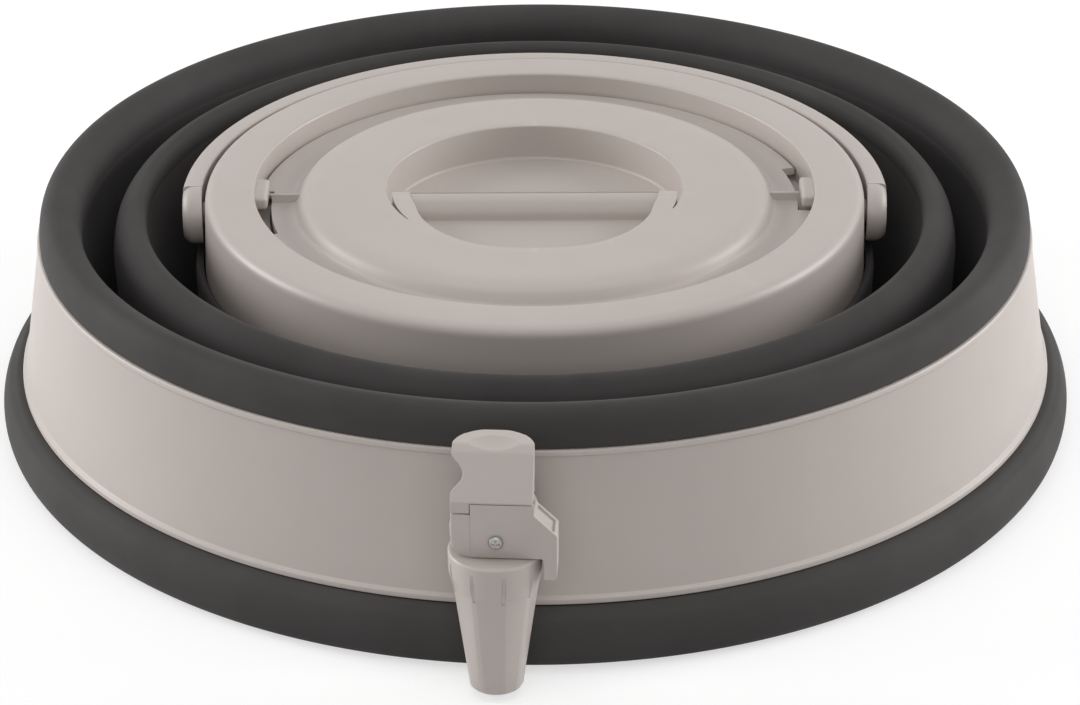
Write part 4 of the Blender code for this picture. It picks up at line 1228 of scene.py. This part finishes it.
@dataclass
class Lid(SubAssembly):
    """Screw-in lid: flange, dome, sunk grip with its bar, and plug."""

    flange: float = 0.0792
    flange_low: float = 0.0586
    flange_top: float = 0.0608
    plug: float = 0.0718
    plug_foot: float = 0.0498
    wall: float = 0.0022
    dome_foot: float = 0.0686
    top: float = 0.0659
    sink: float = 0.0423
    sink_floor: float = 0.0552
    sink_under: float = 0.0532
    bar_back: float = -0.0048
    bar_front: float = -0.0096
    bar_low: float = 0.0588
    bar_top: float = 0.0655

    def core(self) -> Piece:
        """Turn the lid's body, still without its sink."""
        dome = mapped([(0.12, 1.0), (0.40, 1.0), (0.66, 1.0), (0.73, 0.985), (0.79, 0.945),
                       (0.84, 0.875), (0.88, 0.78), (0.915, 0.64), (0.94, 0.48), (0.962, 0.30),
                       (0.985, 0.12), (1.02, 0.02), (1.06, 0.0)],
                      (self.sink, self.flange_top), (self.dome_foot, self.top))
        under = mapped([(1.0, 0.0), (0.84, 0.25), (0.77, 0.74), (0.69, 0.97), (0.0, 1.0)],
                       (self.sink + self.wall, self.flange_low),
                       (self.plug - self.wall, self.top - self.wall))
        rim = rounded([(self.flange - 0.004, self.flange_top, 0.0),
                       (self.flange, self.flange_top, 0.0006),
                       (self.flange, self.flange_low, 0.0004),
                       (self.plug, self.flange_low, 0.0003), (self.plug, self.plug_foot, 0.0005),
                       (self.plug - self.wall, self.plug_foot, 0.0005),
                       (self.plug - self.wall, self.flange_low, 0.0)], 3)[:-1]
        section = [(0.0, self.top), *flowing(dome, 4), *rim, *flowing(under, 3),
                   (self.sink + self.wall, self.sink_under), (0.0, self.sink_under)]
        return self.bench.turned("screw_lid", section, closed=False)

    def tongue(self, grow: float) -> list[Pair]:
        """Front part of the sink, from its right rear corner to its left one.

        Args:
            grow: How much wider it is all round.

        Returns:
            Points of the outline, open along the grip bar.
        """
        shares = [(0.835, -0.17), (0.80, -0.30), (0.765, -0.46), (0.70, -0.61), (0.62, -0.73),
                  (0.51, -0.835), (0.38, -0.92), (0.20, -0.972), (0.0, -0.986)]
        right = mapped(shares, (0, 0), (self.sink + grow, self.sink + grow))
        left = [(-across, deep) for across, deep in reversed(right[:-1])]
        return flowing([*right, *left], 8)

    def drops(self, edge: float, corner: float, above: float, depth: float) -> list[Pair]:
        """Steps that sink an outline with a rounded edge and a rounded corner at its floor.

        Args:
            edge: Rounding of the upper edge.
            corner: Rounding along the floor.
            above: Height of the start over the edge.
            depth: Depth of the floor under the edge.

        Returns:
            How far each step closes in, and how far it drops.
        """
        turns = [math.radians(90 * step / 4) for step in range(5)]
        steps = [(0.0, above)]
        steps += [(edge * (math.sin(b) - math.sin(a)), edge * (math.cos(a) - math.cos(b)))
                  for a, b in zip(turns, turns[1:])]
        steps.append((0.0000001, depth - edge - corner))
        steps += [(corner * (math.cos(a) - math.cos(b)), corner * (math.sin(b) - math.sin(a)))
                  for a, b in zip(turns, turns[1:])]
        return steps

    def cut_sink(self, lid: Piece) -> None:
        """Cut the deep round part behind the bar and the flatter tongue in front."""
        bench, edge, corner, above, behind = self.bench, 0.0005, 0.0009, 0.001, 0.0006
        lean = math.degrees(math.asin(-self.bar_back / self.sink))
        rear = arc((0, 0), self.sink + edge, -lean, 180 + lean, 96)
        tongue = self.tongue(edge)
        front = [(tongue[-1][0], self.bar_back + behind), *reversed(tongue),
                 (tongue[0][0], self.bar_back + behind)]
        for name, outline, floor in (("rear_sink", rear, self.sink_floor),
                                     ("front_sink", front, self.bar_low)):
            steps = self.drops(edge, corner, above, self.top - floor)
            bench.join(lid, bench.sunk(name, outline, self.top + above, steps), Cut.TAKE)
        under, inside = self.wall, 0.94
        hollow = [(x * inside, min(y * inside, self.bar_back - under))
                  for x, y in self.tongue(0.0)]
        bench.join(lid, bench.prism("hollow", hollow, self.sink_under - under,
                                    self.bar_low - under), Cut.TAKE)

    def cut_slits(self, lid: Piece) -> None:
        """Cut the two thin crescents behind the sink's front corners."""
        outer, wide, tip, deep, steps = self.sink + HAIR, 0.0018, 0.0003, 0.0035, 24
        for start, end in ((184, 213), (356, 337)):
            outline = arc((0, 0), outer, start, end, steps)
            for step in range(steps, -1, -1):
                angle = math.radians(start + (end - start) * step / steps)
                inner = outer - wide + (wide - tip) * step / steps
                outline.append((inner * math.cos(angle), inner * math.sin(angle)))
            slit = self.bench.prism("slit", outline, self.top - deep, self.top + self.wall)
            self.bench.join(lid, slit, Cut.TAKE)

    def add_grip(self, lid: Piece) -> None:
        """Add the grip bar with its rounded front and a small fillet along its foot."""
        reach = self.sink * 0.835 + 0.0009
        shares = [(0.06, 1.0), (0.30, 0.97), (0.55, 0.86), (0.78, 0.66), (0.95, 0.40), (1.0, 0.24)]
        front = mapped(shares, (self.bar_back, self.bar_low), (self.bar_front, self.bar_top))
        fillet, bed, edge = 0.0004, 0.0006, 0.0003
        outline = [(self.bar_back - HAIR, self.bar_low - bed),
                   (self.bar_back, self.bar_top - edge), *flowing(front, 5),
                   (self.bar_front, self.bar_low + fillet),
                   (self.bar_front - fillet / 3, self.bar_low + fillet / 3),
                   (self.bar_front - fillet, self.bar_low),
                   (self.bar_front - fillet, self.bar_low - bed)]
        bar = self.bench.prism("bar", outline, -reach, reach, "X")
        self.bench.join(lid, bar, Cut.ADD)

    def add_ribs(self, lid: Piece) -> None:
        """Add the low ribs from the dome to the collar's blocks."""
        inner, outer, half, bed, top, edge = 0.0650, 0.07585, 0.00045, 0.0011, 0.0633, 0.0002
        for side in (-1, 1):
            low, high = sorted((side * inner, side * outer))
            rib = self.bench.block("rib", (low, -half, self.flange_top - bed),
                                   (high, half, top), edge, 2)
            self.bench.join(lid, rib, Cut.ADD)

    def cut_notches(self, lid: Piece) -> None:
        """Cut the flange notches that drop past the collar's blocks."""
        before, after, inner = -5.4, 16.5, 0.0752
        for start in (0, 180):
            outline = arc((0, 0), self.flange + self.wall, start + before, start + after, 20)
            outline += arc((0, 0), inner, start + after, start + before, 20)
            notch = self.bench.prism("notch", outline, self.flange_low - self.wall,
                                     self.flange_top + self.wall)
            self.bench.join(lid, notch, Cut.TAKE)

    def build(self) -> None:
        """Build the lid."""
        lid = self.core()
        self.cut_sink(lid)
        self.cut_slits(lid)
        self.add_grip(lid)
        self.add_ribs(lid)
        self.cut_notches(lid)
        self.done(lid, "lid", Slot.SHELL, "lid")


@dataclass
class Tap(SubAssembly):
    """Push tap, drawn straight in front and then turned about the carrier's axis."""

    yaw: float = math.radians(-3.55)
    reach: float = 0.1630
    axis_z: float = 0.0438
    left: float = -0.0105
    right: float = 0.0094
    cheek: float = -0.0058
    low: float = 0.0422
    high: float = 0.0502
    flange_back: float = 0.1472
    back: float = 0.1490
    front: float = 0.1673
    cover_back: float = 0.1676
    cover_front: float = 0.1690
    cover_top: float = 0.0570
    tab_foot: float = 0.0545
    lever_foot: float = 0.0571
    head_top: float = 0.0692
    head_back: float = 0.1517
    shank_radius: float = 0.0065
    shank_end: float = 0.1324
    pivot_r: float = 0.1658
    pivot_z: float = 0.0520
    screw_x: float = 0.0006
    screw_z: float = 0.0466
    screw_way: float = 0.0014
    pin_way: float = 0.0010
    stem_radius: float = 0.0009

    def at(self, across: float, out: float, height: float) -> Point:
        """Place of a point by its distance across, outwards and up."""
        return (across, -out, height)

    def rod(self, name: str, start: Point, end: Point, radius: float, **looks: float) -> Piece:
        """Make a rod between two points, each given across, outwards and up."""
        return self.bench.rod(name, self.at(*start), self.at(*end), radius, **looks)

    def placed(self, piece: Piece, slot: Slot, body: str, node: str) -> None:
        """Turn a finished tap piece to its place and hang it."""
        self.bench.swing(piece, self.yaw)
        self.done(piece, body, slot, node)

    def build_body(self) -> None:
        """Build the body with its flange, shank, pivot lug and cheek."""
        bench = self.bench
        inset, foot, over, edge = 0.0009, 0.0048, 0.0010, 0.0004
        cheek_depth, lug_half, lug_high, flange_radius = 0.0036, 0.0030, 0.0019, 0.0100
        body = bench.block("tap_body_shell", self.at(self.left, self.front, self.low),
                           self.at(self.right - inset, self.back, self.high))
        cheek = bench.block("cheek", self.at(self.left, self.cover_front, self.low),
                            self.at(self.cheek + HAIR, self.front - cheek_depth,
                                    self.tab_foot - GAP))
        bench.join(body, cheek, Cut.ADD)
        relief = [(self.left - over, self.low - over), (self.left + foot, self.low - over),
                  *arc((self.left + foot, self.low + foot), foot, 270, 180, 12),
                  (self.left - over, self.low + foot)]
        bench.join(body, bench.prism("relief", relief, -self.cover_front - over,
                                     -self.back + over, "Y"), Cut.TAKE)
        bench.soften(body, edge, 3, lambda a, b: max(a.y, b.y) < HAIR - self.front
                     and min(a.x, b.x) > self.cheek)
        lug = bench.block("lug", self.at(-lug_half, self.front - GAP, self.high - over),
                          self.at(lug_half, self.reach + self.stem_radius + GAP,
                                  self.pivot_z + lug_high), edge)
        flange = self.rod("flange", (0, self.flange_back, self.axis_z),
                          (0, self.back + OVERSHOOT, self.axis_z), flange_radius, bevel=0.0005,
                          steps=SMALL_ROUND_STEPS)
        shank = self.rod("shank", (0, self.back, self.axis_z), (0, self.shank_end, self.axis_z),
                         self.shank_radius, bevel=edge)
        for part in (lug, flange, shank):
            bench.join(body, part, Cut.ADD)
        self.bore_body(body)
        self.placed(body, Slot.SHELL, "base", "tap_body")

    def bore_body(self, body: Piece) -> None:
        """Drill the water way, outlet, stem, screw and pin ways."""
        water_z, way, outlet = self.axis_z + OVERSHOOT, 0.0020, 0.0030
        for start, end, radius in (
                ((0, self.shank_end - OVERSHOOT, water_z), (0, self.reach, water_z), way),
                ((0, self.reach, self.low - OVERSHOOT), (0, self.reach, water_z + way), outlet),
                ((0, self.reach, self.axis_z), (0, self.reach, self.high + OVERSHOOT),
                 self.stem_radius + GAP),
                ((self.screw_x, self.front + OVERSHOOT, self.screw_z),
                 (self.screw_x, self.front - 0.0017, self.screw_z), self.screw_way),
                ((self.left + 0.0006, self.pivot_r, self.pivot_z),
                 (self.right, self.pivot_r, self.pivot_z), self.pin_way)):
            self.bench.join(body, self.rod("way", start, end, radius, steps=48), Cut.TAKE)

    def build_spout(self) -> None:
        """Build the hollow spout with its rim, flat top and nine soft facets."""
        bench = self.bench
        rim, rim_top, rim_low = 0.0118, 0.0419, 0.0358
        cone, cone_top = 0.0108, 0.0324
        foot, foot_z, wall, bore = 0.0068, 0.0026, 0.0018, 0.0050
        corners = [
            (bore, rim_top, 0.0003), (rim, rim_top, 0.0008), (rim - 0.0002, rim_low, 0.0022),
            (cone, cone_top, 0.0022), (foot, foot_z + 0.0003, 0.0004), (foot - 0.0004, foot_z, 0.0),
            (foot - wall, foot_z, 0.0003), (cone - wall, cone_top, 0.0),
            (rim - wall, rim_low, 0.0), (rim - wall, rim_top - OVERSHOOT, 0.0),
            (bore, rim_top - OVERSHOOT, 0.0)]
        spout = bench.turned("tap_spout_shell", rounded(corners, 4), steps=SMALL_ROUND_STEPS)
        spread = (cone - foot) / (cone_top - foot_z)
        under, swell, sides, turn = 0.002, 1.03, 9, math.radians(-5.6)
        facets = bench.rod("facets", (0, 0, foot_z - under), (0, 0, cone_top + GAP),
                           (foot - spread * under) * swell, cone * swell, steps=sides)
        bench.swing(facets, turn)
        upper = bench.rod("upper", (0, 0, cone_top + HAIR), (0, 0, rim_top + under / 2), rim * 1.2,
                          steps=24)
        bench.join(facets, upper, Cut.ADD)
        bench.join(spout, facets, Cut.KEEP)
        groove_top, groove_low, groove_radius = 0.0395, 0.0312, 0.0006
        for side in range(sides):
            angle = turn + math.pi / 2 + math.tau * side / sides
            out = Vector((math.cos(angle), math.sin(angle), 0))
            groove = bench.rod("groove", out * (rim + GAP) + Vector((0, 0, groove_top)),
                               out * (cone + HAIR * 2) + Vector((0, 0, groove_low)),
                               groove_radius, steps=24)
            bench.join(spout, groove, Cut.TAKE)
        spout.location = self.at(0, self.reach, 0)
        bench.settle(spout)
        self.placed(spout, Slot.SHELL, "base", "tap_spout")

    def build_cover(self) -> None:
        """Build the front cover with its side ear and hook."""
        bench = self.bench
        left, step, hook_left, ear_right = self.cheek + 0.00014, 0.0100, 0.0124, 0.0156
        hook_low, slope_low, slope_high, depth = 0.0363, 0.0487, 0.0542, 0.0080
        over, margin, pocket = 0.001, 0.0009, 0.0007
        outline = rounded([
            (left, self.low, 0.0), (hook_left, self.low, 0.0008), (hook_left, hook_low, 0.0004),
            (ear_right, hook_low, 0.0010), (ear_right, slope_low, 0.0006),
            (step, slope_high, 0.0006), (step, self.cover_top, 0.0004),
            (left, self.cover_top, 0.0)], 4)
        cover = bench.prism("tap_cover_plate", outline, -self.cover_front,
                            depth - self.cover_front, "Y")
        for right, low in ((step - GAP, hook_low), (step + over, slope_high + HAIR * 2)):
            behind = bench.block("behind", (left - over, -self.cover_back, low),
                                 (right, depth - self.cover_front + over, self.cover_top + over))
            bench.join(cover, behind, Cut.TAKE)
        top, foot = Vector((step, slope_high)), Vector((ear_right, slope_low))
        along = (foot - top).normalized()
        inward = Vector((along.y, -along.x))
        ends = (top + along * margin, foot - along * margin)
        dent = [tuple(end + inward * deep) for end, deep in (
            (ends[0], -pocket), (ends[1], -pocket), (ends[1], pocket), (ends[0], pocket))]
        bench.join(cover, bench.prism("dent", dent, margin - self.cover_front,
                                      depth - margin - self.cover_front, "Y"), Cut.TAKE)
        bench.soften(cover, 0.0003, 3, lambda a, b: max(a.x, b.x) < left + HAIR
                     or min(a.z, b.z) > self.cover_top - HAIR)
        bore = self.rod("bore", (self.screw_x, self.cover_front + OVERSHOOT, self.screw_z),
                        (self.screw_x, self.cover_back - OVERSHOOT, self.screw_z),
                        self.screw_way, steps=48)
        bench.join(cover, bore, Cut.TAKE)
        self.placed(cover, Slot.SHELL, "base", "tap_cover")

    def build_screw(self) -> None:
        """Build the cross-head screw."""
        bench, across, up = self.bench, self.screw_x, self.screw_z
        back, front, over, deep, edge = 0.1693, 0.1700, 0.0006, 0.0003, 0.0001
        screw = self.rod("cover_screw", (across, back, up), (across, front, up), 0.0019,
                         tip=0.0015, bevel=0.00015)
        shaft = self.rod("shaft", (across, back + GAP, up), (across, self.front - 0.0013, up),
                         0.0011, steps=32)
        bench.join(screw, shaft, Cut.ADD)
        for wide, tall in ((0.0012, 0.00022), (0.00022, 0.0012)):
            slot = bench.block("slot", self.at(across - wide, front + over, up - tall),
                               self.at(across + wide, front - deep, up + tall), edge, 2)
            bench.join(screw, slot, Cut.TAKE)
        self.placed(screw, Slot.STEEL, "base", "tap_screw")

    def lever_blank(self) -> Piece:
        """Bent strip with its round back and the waist in its left side."""
        bench = self.bench
        left, right = self.left, self.right + GAP
        bends = [(0.0, 0.0, 3), (0.45, 0.0, 3), (0.45, 0.24, 14), (0.61, 0.57, 30),
                 (0.93, 0.73, 20), (1.0, 0.80, 6), (1.0, 0.97, 8), (0.52, 1.0, 16),
                 (0.40, 0.87, 30), (0.0, 0.04, 3)]
        side = [(*spot, bend / 10000) for spot, (_, _, bend) in zip(
            mapped([bend[:2] for bend in bends], (-self.cover_front, self.lever_foot),
                   (-self.head_back, self.head_top)), bends)]
        lever = bench.prism("push_lever", rounded(side, 6), left, right, "X")
        middle, half, depth = (left + right) / 2, (right - left) / 2, 0.0087
        plan = [(right, -self.cover_front - GAP)]
        plan += [(middle + across * half, -self.head_back - depth + deep * depth)
                 for across, deep in arc((0, 0), 1, 0, 180, 72)]
        plan.append((left, -self.cover_front - GAP))
        bench.join(lever, bench.prism("plan", plan, self.lever_foot - GAP, self.head_top + GAP),
                   Cut.KEEP)
        waist = [(0.0, 1.0), (0.03, 0.92), (0.08, 0.83), (0.12, 0.73), (0.14, 0.62), (0.13, 0.52),
                 (0.09, 0.42), (0.03, 0.31), (0.0, 0.22)]
        frame_shares = [(1.0, -0.4), (1.0, 1.6), (-0.1, 1.6), (-0.1, 1.0), *flowing(waist, 4),
                        (-0.1, 0.22), (-0.1, -0.4)]
        reach, tilt = 0.0173, math.radians(-33.6)
        shape = bench.prism("waist", mapped(frame_shares, (left, 0),
                                            (right + GAP, self.head_top - self.lever_foot)),
                            -reach, reach, "Y")
        shape.rotation_euler = (tilt, 0, 0)
        shape.location = self.at(0, self.cover_front, self.lever_foot)
        bench.settle(shape)
        bench.join(lever, shape, Cut.KEEP)
        return lever

    def build_lever(self) -> None:
        """Build the push lever: tab, knuckles, waisted slanting face and dished head."""
        bench = self.bench
        knuckle_low, knuckle_high, web_half, web_inset = 0.0034, 0.0055, 0.00135, 0.00003
        lever = self.lever_blank()
        web_top = self.lever_foot + 0.0006
        tab = bench.block("tab", self.at(self.left, self.cover_front, self.tab_foot),
                          self.at(self.cheek, self.pivot_r, web_top))
        bench.join(lever, tab, Cut.ADD)
        bench.clear()
        bpy.ops.mesh.primitive_uv_sphere_add(
            segments=72, ring_count=36, radius=1.0,
            location=self.at(-0.0004, self.head_back + 0.0087, self.head_top + 0.0015),
            scale=(0.0077, 0.0066, 0.0026))
        bench.join(lever, bench.begin("dish"), Cut.TAKE)
        bench.melt(lever, 0.00016, 6)
        for way in (-1, 1):
            low, high = sorted((way * knuckle_low, way * knuckle_high))
            knuckle = self.rod("knuckle", (low, self.pivot_r, self.pivot_z),
                               (high, self.pivot_r, self.pivot_z), 0.0015, bevel=0.0002,
                               steps=48)
            web = bench.block("web", self.at(low + web_inset, self.pivot_r - web_half,
                                             self.pivot_z),
                              self.at(high - web_inset, self.pivot_r + web_half, web_top))
            bench.join(knuckle, web, Cut.ADD)
            bench.join(lever, knuckle, Cut.ADD)
        bore = self.rod("bore", (self.cheek, self.pivot_r, self.pivot_z),
                        (self.right, self.pivot_r, self.pivot_z), self.pin_way, steps=32)
        bench.join(lever, bore, Cut.TAKE)
        self.placed(lever, Slot.SHELL, "tap_lever", "tap_lever")

    def build_stem(self) -> None:
        """Build the valve stem with a rounded top."""
        stem_foot, head_room = 0.0391, 0.0006
        stem = self.rod("valve_stem", (0, self.reach, stem_foot),
                        (0, self.reach, self.lever_foot - head_room), self.stem_radius,
                        bevel=0.0003, steps=48)
        self.placed(stem, Slot.SHELL, "tap_valve", "tap_valve_stem")

    def keep_inner_parts(self) -> None:
        """Keep the small hidden parts of the frame, dressed."""
        for node, slot in (("tap_nut", Slot.SHELL), ("tap_lever_pin", Slot.STEEL),
                           ("tap_valve_seal", Slot.SEAL), ("tap_seal_outer", Slot.SEAL),
                           ("tap_washer_inner", Slot.SEAL)):
            self.paint.carry_over(node, slot)

    def build(self) -> None:
        """Build the whole tap."""
        self.build_body()
        self.build_spout()
        self.build_cover()
        self.build_screw()
        self.build_lever()
        self.build_stem()
        self.keep_inner_parts()


# Studio


@dataclass
class Studio:
    """Camera, soft lamps, white surroundings and a pale floor."""

    tilt: float = math.radians(27.96)
    distance: float = 1.0
    roll: float = math.radians(-0.24)
    drop: float = 0.0022
    lens: float = 112.98
    sensor: float = 36.0
    shift: Pair = (4.6 / 1080, 42.6 / 1080)
    world_light: float = 0.22
    floor_size: float = 8.0
    floor_matt: float = 0.71
    floor_dim: float = 0.50
    floor_glow: float = 0.58

    def build_camera(self) -> None:
        """Place the camera where the photograph was taken from."""
        place = Vector((0, -math.cos(self.tilt), math.sin(self.tilt))) * self.distance
        ahead = -place.normalized()
        level = Vector((1, 0, 0))
        upright = level.cross(ahead)
        right = level * math.cos(self.roll) + upright * math.sin(self.roll)
        up = upright * math.cos(self.roll) - level * math.sin(self.roll)
        camera = bpy.data.objects.new("photo_camera", bpy.data.cameras.new("photo_camera"))
        bpy.context.scene.collection.objects.link(camera)
        camera.matrix_world = Matrix((
            (right.x, up.x, -ahead.x, place.x), (right.y, up.y, -ahead.y, place.y),
            (right.z, up.z, -ahead.z, place.z - self.drop), (0, 0, 0, 1)))
        camera.data.sensor_width = self.sensor
        camera.data.lens = self.lens
        camera.data.shift_x, camera.data.shift_y = self.shift
        bpy.context.scene.camera = camera

    def lamp(self, name: str, place: Point, size: Pair, power: float, height: float) -> None:
        """Hang a soft box that faces the carrier's axis.

        Args:
            name: Name of the lamp.
            place: Where it hangs.
            size: Its width and height.
            power: Its power in watts.
            height: Height of the point that it faces.
        """
        light = bpy.data.lights.new(name, "AREA")
        light.shape = "RECTANGLE"
        light.size, light.size_y = size
        light.energy = power
        lamp = bpy.data.objects.new(name, light)
        bpy.context.scene.collection.objects.link(lamp)
        lamp.location = place
        facing = Vector((0, 0, height)) - Vector(place)
        lamp.rotation_euler = facing.to_track_quat("-Z", "Y").to_euler()

    def blended(self, desk: Desk, light: Socket, sight: Socket) -> Socket:
        """Show one shader to the rays that see it and another to the rays that light the scene.

        Args:
            desk: Desk on the world or on a material.
            light: Shader that lights the scene.
            sight: Shader that is seen, in reflections too.

        Returns:
            The joined shader's socket.
        """
        path = desk.node("ShaderNodeLightPath").outputs
        share = path["Is Camera Ray"]
        for kind in ("Is Glossy Ray", "Is Transmission Ray"):
            share = desk.node("ShaderNodeMath", {0: share, 1: path[kind]},
                              operation="MAXIMUM").outputs[0]
        return desk.node("ShaderNodeMixShader", {0: share, 1: light, 2: sight}).outputs[0]

    def build_world(self) -> None:
        """Light the scene softly and show a white background."""
        world = bpy.data.worlds.new("white_studio")
        bpy.context.scene.world = world
        world.use_nodes = True
        desk = Desk(world.node_tree)
        world.node_tree.nodes.clear()
        light, white = [desk.node("ShaderNodeBackground", {"Color": WHITE, "Strength": level})
                        for level in (self.world_light, 1.0)]
        desk.node("ShaderNodeOutputWorld", {
            "Surface": self.blended(desk, light.outputs[0], white.outputs[0])})

    def build_floor(self) -> None:
        """Lay the pale floor, which keeps the carrier's shadow."""
        bench = Bench()
        bench.clear()
        bpy.ops.mesh.primitive_plane_add(size=self.floor_size, location=(0, 0, -0.0001))
        floor = bench.begin("studio_floor")
        made = bpy.data.materials.new("pale_floor")
        made.use_nodes = True
        desk = Desk(made.node_tree)
        made.node_tree.nodes.clear()
        matt, dim = [desk.node("ShaderNodeBsdfDiffuse", {"Color": (level, level, level, 1.0)})
                     for level in (self.floor_matt, self.floor_dim)]
        glow = desk.node("ShaderNodeEmission", {"Color": WHITE, "Strength": self.floor_glow})
        both = desk.node("ShaderNodeAddShader", {0: dim.outputs[0], 1: glow.outputs[0]})
        desk.node("ShaderNodeOutputMaterial", {
            "Surface": self.blended(desk, matt.outputs[0], both.outputs[0])})
        floor.data.materials.append(made)

    def build(self) -> None:
        """Set up the whole studio."""
        self.build_camera()
        self.build_world()
        self.build_floor()
        for name, place, size, power, height in (
                ("overhead_box", (0.0, -0.25, 1.4), (1.5, 1.3), 6.8, 0.0),
                ("front_box", (0.0, -1.5, 0.9), (1.2, 0.7), 4.5, 0.04),
                ("left_box", (-1.35, 0.25, 0.42), (0.7, 0.9), 15.5, 0.04),
                ("right_box", (1.35, 0.25, 0.42), (0.7, 0.9), 15.5, 0.04)):
            self.lamp(name, place, size, power, height)
        bpy.context.scene.view_settings.view_transform = "Standard"


def main() -> None:
    """Build the studio and then the carrier from the ground up."""
    logging.basicConfig(level=logging.INFO, format="%(name)s %(message)s")
    Studio().build()
    bench = Bench()
    paint = Paint(FinishSet())
    band = Band(bench, paint)
    tap = Tap(bench, paint)
    band.build(tap.yaw)
    Foot(bench, paint, band).build()
    Bellows(bench, paint, band).build()
    Neck(bench, paint).build()
    Lid(bench, paint).build()
    tap.build()


if __name__ == "__main__":
    main()
